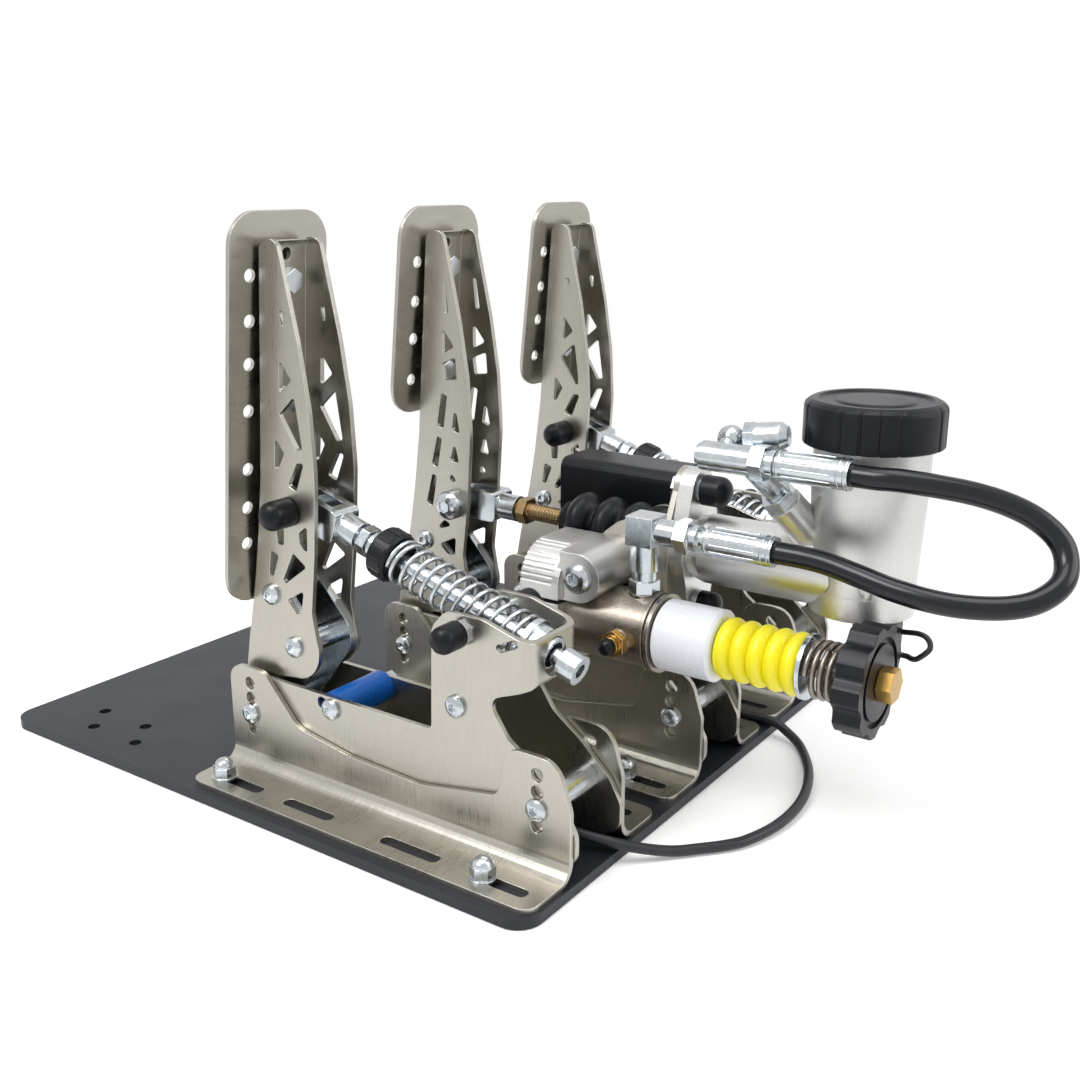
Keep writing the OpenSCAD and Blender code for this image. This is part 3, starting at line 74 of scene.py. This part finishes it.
LEAD = [
    (-30, 128, 126), (-30, 136, 126), (-30, 150, 120), (-30, 168, 112), (-28, 186, 104), (-24, 202, 98),
    (-18, 218, 95), (-10, 232, 93), (-7, 246, 92), (-6.5, 258, 93), (-3, 267, 95), (3, 273, 95.5),
    (8, 275.5, 93), (9, 271, 88), (6.5, 267.5, 86.3), (4, 264.5, 86), (4, 259, 86)]


# Shader nodes
def math_node(tree, operation, *values):
    """A Math node on sockets or plain numbers. Returns its result."""
    node = tree.nodes.new("ShaderNodeMath")
    node.operation = operation
    for socket, value in zip(node.inputs, values):
        if isinstance(value, bpy.types.NodeSocket):
            tree.links.new(value, socket)
        else:
            socket.default_value = value
    return node.outputs[0]


def range_node(tree, value, source, target, smooth=False):
    """A Map Range node from one pair of values to another. Returns its result."""
    node = tree.nodes.new("ShaderNodeMapRange")
    if smooth:
        node.interpolation_type = "SMOOTHSTEP"
    for name, number in zip(("From Min", "From Max", "To Min", "To Max"), (*source, *target)):
        node.inputs[name].default_value = number
    tree.links.new(value, node.inputs["Value"])
    return node.outputs["Result"]


# Camera, floor and light
CAMERA_AT = (0.5207, 0.4267, 0.291)
CAMERA_AHEAD = (-0.819, -0.574)
CAMERA_PITCH = math.radians(16.3)
CAMERA_LENS = 41.3
FLOOR_SIZE = 14
FLOOR_GAP = 0.0004
FLOOR_COLOR = (0.93, 0.93, 0.935, 1)
FLOOR_GLOW = 0.22
FADE = (0.38, 1.0)
WHITE = (1, 1, 1, 1)
AMBIENT = 0.42
LAMPS_AIM = (0, 0.05, 0.12)
LAMPS = {
    "key": dict(at=(1.2, -0.4, 1.7), power=26, size=0.9),
    "fill": dict(at=(-0.6, 1.7, 1.1), power=14, size=1.3),
    "top": dict(at=(0.1, 0.3, 2.2), power=16, size=1.2),
}


def make_camera():
    level = math.cos(CAMERA_PITCH)
    x, y = CAMERA_AHEAD
    ahead = Vector((x * level, y * level, -math.sin(CAMERA_PITCH))).normalized()
    right = Vector((y, -x, 0)).normalized()
    up = right.cross(ahead)
    data = bpy.data.cameras.new("camera")
    data.lens = CAMERA_LENS
    data.sensor_width = 36
    data.clip_start = 0.01
    camera = bpy.data.objects.new("camera", data)
    turn = Matrix((right, up, -ahead)).transposed().to_4x4()
    camera.matrix_world = Matrix.Translation(CAMERA_AT) @ turn
    bpy.context.collection.objects.link(camera)
    bpy.context.scene.camera = camera


def make_floor():
    """A pale floor that keeps the object's shadow and fades to white away from it."""
    bpy.ops.mesh.primitive_plane_add(size=FLOOR_SIZE, location=(0, 0, -FLOOR_GAP))
    floor = bpy.context.object
    floor.name = "floor"
    mat = bpy.data.materials.new("floor_white")
    mat.use_nodes = True
    tree = mat.node_tree
    tree.nodes.remove(tree.nodes["Principled BSDF"])
    new, link = tree.nodes.new, tree.links.new
    path = new("ShaderNodeLightPath")
    seen = math_node(tree, "MAXIMUM", path.outputs["Is Camera Ray"], path.outputs["Is Glossy Ray"])
    diffuse = new("ShaderNodeBsdfDiffuse")
    diffuse.inputs["Color"].default_value = FLOOR_COLOR
    glow = new("ShaderNodeEmission")
    glow.inputs["Color"].default_value = WHITE
    link(math_node(tree, "MULTIPLY", seen, FLOOR_GLOW), glow.inputs["Strength"])
    add = new("ShaderNodeAddShader")
    link(diffuse.outputs[0], add.inputs[0])
    link(glow.outputs[0], add.inputs[1])

    place = new("ShaderNodeTexCoord")
    reach = new("ShaderNodeVectorMath")
    reach.operation = "LENGTH"
    link(place.outputs["Object"], reach.inputs[0])
    far = range_node(tree, reach.outputs["Value"], FADE, (0, 1), smooth=True)
    white = new("ShaderNodeEmission")
    white.inputs["Color"].default_value = WHITE
    mix = new("ShaderNodeMixShader")
    link(math_node(tree, "MULTIPLY", far, seen), mix.inputs["Fac"])
    link(add.outputs[0], mix.inputs[1])
    link(white.outputs[0], mix.inputs[2])
    link(mix.outputs[0], tree.nodes["Material Output"].inputs["Surface"])
    floor.data.materials.append(mat)


def make_light():
    world = bpy.data.worlds.new("studio")
    bpy.context.scene.world = world
    world.use_nodes = True
    tree = world.node_tree
    back = tree.nodes["Background"]
    back.inputs["Color"].default_value = WHITE
    path = tree.nodes.new("ShaderNodeLightPath")
    seen = math_node(tree, "MAXIMUM", path.outputs["Is Camera Ray"], path.outputs["Is Glossy Ray"])
    seen = math_node(tree, "MAXIMUM", seen, path.outputs["Is Transmission Ray"])
    tree.links.new(range_node(tree, seen, (0, 1), (AMBIENT, 1)), back.inputs["Strength"])
    for name, lamp_of in LAMPS.items():
        data = bpy.data.lights.new(name, "AREA")
        data.energy = lamp_of["power"]
        data.size = lamp_of["size"]
        lamp = bpy.data.objects.new(name, data)
        lamp.location = lamp_of["at"]
        way = Vector(LAMPS_AIM) - Vector(lamp_of["at"])
        lamp.rotation_euler = way.to_track_quat("-Z", "Y").to_euler()
        bpy.context.collection.objects.link(lamp)


# Materials
CLOUD_SCALE = 34
CLOUD_DETAIL, GRAIN_DETAIL = 5, 3
NOISE_SPREAD = (0.3, 0.7)
ROUGH_LESS, ROUGH_MORE = 0.07, 0.09
SMOOTHEST = 0.04
EDGE_RADIUS = 0.0005
EDGE_SAMPLES = 4
EDGE_TURN = (0.99, 0.85)
# How far edges are lightened towards their edge colour: a painted highlight along the edges, partly also
# wear
EDGE_HIGHLIGHT_AND_WEAR = 0.55
RELIEF = 0.0004
COAT_ROUGH = 0.25


def noise_node(tree, vector, scale, detail):
    node = tree.nodes.new("ShaderNodeTexNoise")
    node.inputs["Scale"].default_value = scale
    node.inputs["Detail"].default_value = detail
    tree.links.new(vector, node.inputs["Vector"])
    return node.outputs["Fac"]


def finish(name, color, metallic, rough, grain, bump, streak=(1, 1, 1), vary=0.12, edge=None, coat=0.0,
           shine=0.5):
    """A procedural finish: mottled colour, grain in roughness and bump, and edges that catch the light."""
    mat = bpy.data.materials.new(name)
    mat.use_nodes = True
    tree = mat.node_tree
    shader = tree.nodes["Principled BSDF"]
    new, link = tree.nodes.new, tree.links.new
    shader.inputs["Metallic"].default_value = metallic
    shader.inputs["Specular IOR Level"].default_value = shine
    shader.inputs["Coat Weight"].default_value = coat
    shader.inputs["Coat Roughness"].default_value = COAT_ROUGH

    place = new("ShaderNodeTexCoord")
    stretch = new("ShaderNodeMapping")
    stretch.inputs["Scale"].default_value = streak
    link(place.outputs["Object"], stretch.inputs["Vector"])
    clouds = noise_node(tree, place.outputs["Object"], CLOUD_SCALE, CLOUD_DETAIL)
    grains = noise_node(tree, stretch.outputs["Vector"], grain, GRAIN_DETAIL)
    both = math_node(tree, "MULTIPLY_ADD", grains, 0.5, math_node(tree, "MULTIPLY", clouds, 0.5))

    paint = new("ShaderNodeVectorMath")
    paint.operation = "SCALE"
    paint.inputs[0].default_value = color
    link(range_node(tree, both, NOISE_SPREAD, (1 - vary, 1 + vary)), paint.inputs["Scale"])
    colour = paint.outputs["Vector"]

    soft = new("ShaderNodeBevel")
    soft.samples = EDGE_SAMPLES
    soft.inputs["Radius"].default_value = EDGE_RADIUS
    # Painted highlight along the edges, partly also wear: where the bevelled normal turns from the true
    # normal, the colour is mixed towards the edge colour
    if edge:
        sharp = new("ShaderNodeNewGeometry")
        turn = new("ShaderNodeVectorMath")
        turn.operation = "DOT_PRODUCT"
        link(soft.outputs["Normal"], turn.inputs[0])
        link(sharp.outputs["Normal"], turn.inputs[1])
        mix = new("ShaderNodeMix")
        mix.data_type = "RGBA"
        mix.inputs["B"].default_value = (*edge, 1)
        link(range_node(tree, turn.outputs["Value"], EDGE_TURN, (0, EDGE_HIGHLIGHT_AND_WEAR)), mix.inputs["Factor"])
        link(colour, mix.inputs["A"])
        colour = mix.outputs["Result"]
    link(colour, shader.inputs["Base Color"])

    spread = (max(SMOOTHEST, rough - ROUGH_LESS), rough + ROUGH_MORE)
    link(range_node(tree, both, NOISE_SPREAD, spread), shader.inputs["Roughness"])
    relief = new("ShaderNodeBump")
    relief.inputs["Strength"].default_value = bump
    relief.inputs["Distance"].default_value = RELIEF
    link(grains, relief.inputs["Height"])
    link(soft.outputs["Normal"], relief.inputs["Normal"])
    link(relief.outputs["Normal"], shader.inputs["Normal"])
    return mat


def brass_from(mat, y, color):
    """Past this Y the finish is brass: the head of the slave cylinder's centre rod."""
    tree = mat.node_tree
    shader = tree.nodes["Principled BSDF"]
    place = tree.nodes.new("ShaderNodeTexCoord")
    split = tree.nodes.new("ShaderNodeSeparateXYZ")
    mix = tree.nodes.new("ShaderNodeMix")
    mix.data_type = "RGBA"
    mix.inputs["B"].default_value = (*color, 1)
    before = shader.inputs["Base Color"].links[0].from_socket
    tree.links.new(place.outputs["Object"], split.inputs[0])
    tree.links.new(math_node(tree, "GREATER_THAN", split.outputs["Y"], y), mix.inputs["Factor"])
    tree.links.new(before, mix.inputs["A"])
    tree.links.new(mix.outputs["Result"], shader.inputs["Base Color"])


# The edge colours in this table are painted edge highlights, partly also wear
STEEL_EDGE = (0.78, 0.76, 0.71)
BLACK_EDGE = (0.035, 0.036, 0.04)
BRASS = (0.46, 0.285, 0.08)
ROD_HEAD_Y = 265.15
FINISHES = {
    "coated_plate": dict(
        color=(0.012, 0.0145, 0.021), metallic=0, rough=0.4, grain=2600, bump=0.3, vary=0.22,
        edge=(0.05, 0.055, 0.065), shine=0.32),
    "bare_steel": dict(
        color=(0.43, 0.41, 0.365), metallic=1, rough=0.3, grain=60, bump=0.012, streak=(1.2, 26, 1.2),
        vary=0.09, edge=STEEL_EDGE),
    "zinc_steel": dict(
        color=(0.5, 0.535, 0.56), metallic=1, rough=0.2, grain=420, bump=0.05, vary=0.15,
        edge=(0.82, 0.84, 0.85)),
    "black_rubber": dict(
        color=(0.003, 0.004, 0.0065), metallic=0, rough=0.34, grain=1500, bump=0.1, vary=0.25,
        shine=0.22),
    "black_plastic": dict(
        color=(0.004, 0.0052, 0.0085), metallic=0, rough=0.34, grain=2400, bump=0.14, vary=0.25,
        edge=BLACK_EDGE, shine=0.24),
    "cast_alloy": dict(
        color=(0.62, 0.615, 0.6), metallic=1, rough=0.36, grain=1300, bump=0.18, vary=0.12,
        edge=(0.8, 0.79, 0.76)),
    "dark_steel": dict(
        color=(0.27, 0.24, 0.205), metallic=1, rough=0.3, grain=700, bump=0.1, vary=0.2,
        edge=(0.4, 0.36, 0.3)),
    "brass": dict(
        color=BRASS, metallic=1, rough=0.24, grain=700, bump=0.07, vary=0.12, edge=(0.78, 0.58, 0.26)),
    "gold_zinc": dict(
        color=(0.36, 0.25, 0.125), metallic=1, rough=0.3, grain=700, bump=0.08, vary=0.15,
        edge=(0.75, 0.62, 0.4)),
    "blue_plastic": dict(
        color=(0.0, 0.1, 0.42), metallic=0, rough=0.3, grain=900, bump=0.06, vary=0.12, shine=0.3),
    "yellow_elastomer": dict(
        color=(0.9, 0.8, 0.01), metallic=0, rough=0.36, grain=900, bump=0.05, vary=0.05, coat=0.2),
    "white_plastic": dict(
        color=(0.8, 0.83, 0.88), metallic=0, rough=0.3, grain=900, bump=0.0, vary=0.02, coat=0.3),
    "cable_jacket": dict(
        color=(0.016, 0.018, 0.023), metallic=0, rough=0.4, grain=1200, bump=0.1, vary=0.15, shine=0.4),
    "hose_jacket": dict(
        color=(0.005, 0.0062, 0.0095), metallic=0, rough=0.2, grain=1100, bump=0.015, vary=0.2,
        coat=0.15, shine=0.28),
}
MATERIALS = {name: finish(name, **look) for name, look in FINISHES.items()}
brass_from(MATERIALS["dark_steel"], ROD_HEAD_Y * MM, BRASS)


def dress_nodes():
    slots = {s["node"]: s["material_slot"] for s in frame["record"]["subparts"]}
    for name, obj in frame["nodes"].items():
        obj.data.materials.clear()
        obj.data.materials.append(MATERIALS[slots[name]])


# Meshes
def mesh_piece(name, points, faces, slot, body, smooth=True):
    data = bpy.data.meshes.new(name)
    data.from_pydata([tuple(c * MM for c in p) for p in points], [], faces)
    data.update()
    if smooth:
        data.polygons.foreach_set("use_smooth", [True] * len(data.polygons))
    obj = bpy.data.objects.new(name, data)
    bpy.context.collection.objects.link(obj)
    data.materials.append(MATERIALS[slot])
    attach(obj, body)
    return obj


def tube(path, radius, sides):
    """Points and faces of a round tube along a path, its rings carried along without twist."""
    path = [Vector(p) for p in path]
    points, faces = [], []
    side = None
    for i, p in enumerate(path):
        way = (path[min(i + 1, len(path) - 1)] - path[max(i - 1, 0)]).normalized()
        side = Vector((0.2, 0.1, 1)) if side is None else side
        side = (side - way * side.dot(way)).normalized()
        other = way.cross(side)
        for k in range(sides):
            a = 2 * math.pi * k / sides
            points.append(p + radius * (math.cos(a) * side + math.sin(a) * other))
    for i in range(len(path) - 1):
        for k in range(sides):
            a, b = i * sides + k, i * sides + (k + 1) % sides
            faces.append((a, b, b + sides, a + sides))
    faces.append(tuple(reversed(range(sides))))
    faces.append(tuple(range((len(path) - 1) * sides, len(path) * sides)))
    return points, faces


def smooth_path(points, steps):
    """A Catmull-Rom curve through the points."""
    points = [Vector(p) for p in points]
    out = []
    for i in range(len(points) - 1):
        a, b, c = points[max(i - 1, 0)], points[i], points[i + 1]
        d = points[min(i + 2, len(points) - 1)]
        for s in range(steps):
            t = s / steps
            square = (2 * a - 5 * b + 4 * c - d) * t * t
            cube = (3 * b - a - 3 * c + d) * t ** 3
            out.append(0.5 * (2 * b + (c - a) * t + square + cube))
    return out + [points[-1]]


class Axis:
    """A line that turned pieces stand on: its start, its way and two directions square to it."""

    def __init__(self, start, slope=0.0):
        self.start = Vector(start)
        self.way = Vector((0, math.cos(slope), -math.sin(slope)))
        self.across = Vector((1, 0, 0))
        self.down = self.way.cross(self.across)

    def at(self, radius, angle, along):
        spoke = self.across * math.cos(angle) + self.down * math.sin(angle)
        return self.start + self.way * along + radius * spoke


CLOSE_PITCH = 1.25


def coil_path(axis, start, length, diameter, wire, curls, closed, rings=20):
    """The middle line of a compression spring, whose end turns may lie close together."""
    close = wire * CLOSE_PITCH
    middle = (length - wire - 2 * closed * close) / (curls - 2 * closed)
    path = []
    for i in range(curls * rings + 1):
        u = i / rings
        height = wire / 2 + min(u, closed) * close + max(0, u - (curls - closed)) * close
        height += min(max(0, u - closed), curls - 2 * closed) * middle
        path.append(axis.at((diameter - wire) / 2, -2 * math.pi * u, start + height))
    return path


def thread_path(axis, start, end, radius, pitch, rings=16):
    """The middle line of a thread's ridge, in whole turns."""
    turns = int((end - start) / pitch)
    return [axis.at(radius, 2 * math.pi * i / rings, start + pitch * i / rings)
            for i in range(turns * rings + 1)]


def ring_faces(steps, n):
    """Faces between neighbouring copies of a closed profile of n points, all the way round."""
    faces = []
    for k in range(steps):
        here, there = k * n, (k + 1) % steps * n
        faces += [(here + i, here + (i + 1) % n, there + (i + 1) % n, there + i) for i in range(n)]
    return faces


def lathe(axis, profile, steps=96):
    """Points and faces of a closed profile of [radius, place] turned round an axis."""
    points = [axis.at(r, 2 * math.pi * k / steps, s) for k in range(steps) for r, s in profile]
    return points, ring_faces(steps, len(profile))


def joined(parts):
    """One list of points and one of faces, from several."""
    points, faces = [], []
    for more_points, more_faces in parts:
        faces += [tuple(i + len(points) for i in face) for face in more_faces]
        points += more_points
    return points, faces


# Springs, threads and the knob's ring, whose profile is [radius, Y]
RETURN_SPRING = dict(start=57.8, length=76.5, diameter=22, wire=2.2, curls=13, closed=1)
PRELOAD_SPRING = dict(start=0, length=16.8, diameter=27, wire=2.8, curls=4, closed=0, rings=32)
PRELOAD_Y = 234.1
RETURN_SIDES, PRELOAD_SIDES = 12, 14
UNIT_PITCH, UNIT_RIDGE = 1.5, 0.42
BRAKE_PITCH, BRAKE_RIDGE = 1.75, 0.5
THREAD_SIDES = 8
KNOB_RING = [
    (11, 250.98), (14.95, 250.98), (15.05, 251.1), (15.05, 252.45), (14.95, 252.57), (11, 252.57)]


def make_springs():
    for unit, x in UNITS.items():
        rod = Axis((x, *ROD_PIN), ROD_SLOPE)
        coil = tube(coil_path(rod, **RETURN_SPRING), RETURN_SPRING["wire"] / 2, RETURN_SIDES)
        spring = mesh_piece(unit + "_return_spring", *coil, "zinc_steel", unit + "_linkage")
        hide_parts(unit + "_spring")
        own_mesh(spring)
        thread = tube(thread_path(rod, *THREAD_SHOWN[unit], ROD_R, UNIT_PITCH), UNIT_RIDGE, THREAD_SIDES)
        mesh_piece(unit + "_thread", *thread, "zinc_steel", unit + "_linkage")
    axis = Axis((SLAVE[0], PRELOAD_Y, SLAVE[1]))
    coil = tube(coil_path(axis, **PRELOAD_SPRING), PRELOAD_SPRING["wire"] / 2, PRELOAD_SIDES)
    spring = mesh_piece("preload_coil", *coil, "dark_steel", "frame")
    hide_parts("preload_spring")
    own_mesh(spring)
    ring = lathe(Axis((SLAVE[0], 0, SLAVE[1])), KNOB_RING)
    mesh_piece("knob_ring", *ring, "zinc_steel", "knob", smooth=False)


# The brake's rod, boot and elastomer stack. The neck, the lip and the inside are [radius, place from the
# boot's front], the cuff is [radius, place from the rod's pin], and a disc's rim is [radius, share of its
# thickness].
BOOT_FRONT = 63.5
BOOT_NECK = [(4.05, 0), (7.0, 0), (7.6, 0.8), (9.4, 2), (9.4, 3), (4.05, 3)]
BOOT_LIP = [(7.4, 3.1), (9.4, 3.1), (10.6, 4.4)]
BOOT_FOLDS = 3
FOLDS_AT = 6
FOLD_PITCH, FOLD_L = 15.5, 14.6
VALLEY_R, FOLD_DEPTH, FOLD_ROUND = 9.9, 6.4, 0.75
FOLD_STEPS = 12
BOOT_CUFF = [(11.6, 117), (15.8, 121.5), (15.8, 131.9), (14.4, 131.9), (14.4, 122.5), (8.2, 118.5)]
BOOT_INSIDE = [(8.2, FOLDS_AT), (7.4, 4.6)]
DISCS = 5
DISC_GAP = 0.1
STACK_Y = (191.1, 231.8)
DISC_BORE = 4.3
DISC_RIM = [(11.6, 0), (12.3, 0.05)]
DISC_EDGE_R, DISC_BULGE, DISC_ROUND = 12.9, 1.6, 0.7
DISC_STEPS = 14
DISC_SHOULDER = 0.1


def make_brake_rod_thread():
    rod = Axis((0, *BRAKE_PIN), BRAKE_SLOPE)
    thread = tube(thread_path(rod, *THREAD_SHOWN["brake"], ROD_R, BRAKE_PITCH), BRAKE_RIDGE, THREAD_SIDES)
    mesh_piece("brake_rod_thread", *thread, "gold_zinc", "brake_linkage")


def make_boot():
    """The boot's neck grips the rod and travels with it. The bellows behind it are one fixed turned piece on
    the frame.
    """
    rod = Axis((0, *BRAKE_PIN), BRAKE_SLOPE)
    neck = [(r, BOOT_FRONT + s) for r, s in BOOT_NECK]
    mesh_piece("boot_neck", *lathe(rod, neck), "black_rubber", "brake_linkage")
    outline = [(r, BOOT_FRONT + s) for r, s in BOOT_LIP]
    for k in range(BOOT_FOLDS):
        low = BOOT_FRONT + FOLDS_AT + k * FOLD_PITCH
        for i in range(FOLD_STEPS + 1):
            share = i / FOLD_STEPS
            swell = math.sin(math.pi * share) ** FOLD_ROUND
            outline.append((VALLEY_R + FOLD_DEPTH * swell, low + FOLD_L * share))
    outline += BOOT_CUFF
    outline += [(r, BOOT_FRONT + s) for r, s in BOOT_INSIDE]
    boot = mesh_piece("boot_bellows", *lathe(rod, outline), "black_rubber", "frame")
    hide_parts("brake_boot")
    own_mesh(boot)


def make_discs():
    stack = Axis((SLAVE[0], 0, SLAVE[1]))
    pitch = (STACK_Y[1] - STACK_Y[0] + DISC_GAP) / DISCS
    thick = pitch - DISC_GAP
    bulge = []
    for i in range(DISC_STEPS + 1):
        share = i / DISC_STEPS
        swell = math.sin(math.pi * share) ** DISC_ROUND
        bulge.append((DISC_EDGE_R + DISC_BULGE * swell, DISC_SHOULDER + (1 - 2 * DISC_SHOULDER) * share))
    back = [(r, 1 - share) for r, share in reversed(DISC_RIM)]
    section = [(DISC_BORE, 0), *DISC_RIM, *bulge, *back, (DISC_BORE, 1)]
    turned = []
    for k in range(DISCS):
        low = STACK_Y[0] + pitch * k
        turned.append(lathe(stack, [(r, low + thick * share) for r, share in section]))
    discs = mesh_piece("elastomer_discs", *joined(turned), "yellow_elastomer", "stack_end")
    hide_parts("elastomer_stack")
    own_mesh(discs)


# Trim on the hose ends, the collars and the reservoir. A land's rows are [place along the rod, lift,
# degrees taken off each end], and the cap's profile is [radius, height, share of a groove's depth].
FERRULES = {"upper": (30, 210, 171), "lower": (38, 181, 134)}
FERRULE_RIDGES = 12
FERRULE_R = 6.75
RIDGE_STEPS = (3, 3.6, 25, 25.6)
RIDGE_R, RIDGE_SIDES = 0.42, 6
FERRULE_RINGS = (1.2, 28.5, 31.5)
RING_PROFILE = [(6.2, -0.6), (6.95, -0.45), (7.1, 0), (6.95, 0.45), (6.2, 0.6)]
COLLAR_R = 12
COLLAR_LANDS = 12
LAND_ARC, LAND_STEPS = 20, 5
LAND_ROWS = [(48.5, -0.3, 0), (49.0, 0.45, 1.5), (56.0, 0.45, 1.5), (56.5, -0.3, 0)]
CAP_PROFILE = [
    (26.1, 178, 0), (30.5, 178, 1), (31, 178.5, 1), (31, 194.4, 1), (30.6, 195.9, 1), (29.2, 197.2, 0.4),
    (27.6, 198, 0), (25.2, 198, 0), (24.3, 197.1, 0), (18.2, 196.9, 0), (17.3, 197.5, 0), (16, 197.8, 0),
    (0.02, 197.9, 0), (0.02, 188, 0), (26.1, 188, 0)]
CAP_GROUPS, GROUP_GROOVES = 4, 4
GRIP_TURN, GROOVE_STEP = 17, 16.4
GROOVE_DEPTH, GROOVE_HALF = 0.85, 1.9


def make_ferrules():
    """The pressed ridges along the two hose ends, and the turned rings at their mouths."""
    for label, start in FERRULES.items():
        axis = Axis(start)
        parts = []
        for k in range(FERRULE_RIDGES):
            angle = math.radians(360 / FERRULE_RIDGES * k)
            parts.append(tube([axis.at(FERRULE_R, angle, s) for s in RIDGE_STEPS], RIDGE_R, RIDGE_SIDES))
        for s in FERRULE_RINGS:
            parts.append(lathe(axis, [(r, s + more) for r, more in RING_PROFILE]))
        mesh_piece(f"{label}_ferrule_ridges", *joined(parts), "zinc_steel", "frame")


def land(axis, middle):
    """Points and faces of one raised land, its ends and flanks sloping down into the collar."""
    columns = LAND_STEPS + 1
    points = []
    for along, lift, narrow in LAND_ROWS:
        for i in range(columns):
            angle = middle + (LAND_ARC - 2 * narrow) * (i / LAND_STEPS - 0.5)
            points.append(axis.at(COLLAR_R + lift, math.radians(angle), along))
    rows = range(len(LAND_ROWS))
    last = columns * rows[-1]
    starts = [row * columns + i for row in rows[:-1] for i in range(LAND_STEPS)]
    faces = [(a, a + 1, a + columns + 1, a + columns) for a in starts]
    faces.append(tuple(row * columns for row in rows))
    faces.append(tuple(row * columns + LAND_STEPS for row in reversed(rows)))
    faces.append((0, *range(last, last + columns), *range(LAND_STEPS, 0, -1)))
    return points, faces


def make_collars():
    """The raised lands between the finger grooves of the two spring collars."""
    for unit, x in UNITS.items():
        axis = Axis((x, *ROD_PIN), ROD_SLOPE)
        lands = [land(axis, 360 * k / COLLAR_LANDS) for k in range(COLLAR_LANDS)]
        mesh_piece(f"{unit}_collar_lands", *joined(lands), "black_plastic", unit + "_linkage", smooth=False)


def make_cap():
    """The reservoir's cap: four groups of four grip grooves, and a rim round a sunk ring on its top."""
    axis = Axis((*RESERVOIR, 0), -math.pi / 2)
    grooves = [GRIP_TURN + 360 / CAP_GROUPS * group + GROOVE_STEP * (k - (GROUP_GROOVES - 1) / 2)
               for group in range(CAP_GROUPS) for k in range(GROUP_GROOVES)]
    points = []
    for degree in range(360):
        away = min(abs((degree - g + 180) % 360 - 180) for g in grooves)
        depth = GROOVE_DEPTH * max(0, 1 - away / GROOVE_HALF)
        points += [axis.at(r - depth * share, math.radians(degree), z) for r, z, share in CAP_PROFILE]
    faces = ring_faces(360, len(CAP_PROFILE))
    cap = mesh_piece("cap_shell", points, faces, "black_plastic", "cap", smooth=False)
    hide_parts("reservoir_cap")


# Cords: the node they stand for, their points, diameter, slot and stiffness
CORD_STEPS = 5
CORD_SIDES = 20
CORDS = {
    "hose": ("brake_hose", HOSE, 10, "black_rubber", "stiff"),
    "loom": ("loom_cable", LOOM, 5, "cable_jacket", "medium"),
    "lead": ("sensor_lead", LEAD, 2.6, "cable_jacket", "medium"),
}


def make_cords():
    for name, (node, points, diameter, slot, stiffness) in CORDS.items():
        path = smooth_path(points, CORD_STEPS)
        piece = mesh_piece(name, *tube(path, diameter / 2, CORD_SIDES), slot, "frame")
        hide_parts(node)
        if node == "brake_hose":
            piece.data.materials[0] = MATERIALS["hose_jacket"]


make_camera()
make_floor()
make_light()
dress_nodes()
make_springs()
make_brake_rod_thread()
make_boot()
make_discs()
make_ferrules()
make_collars()
make_cap()
make_cords()
bpy.context.scene.view_settings.view_transform = "Standard"
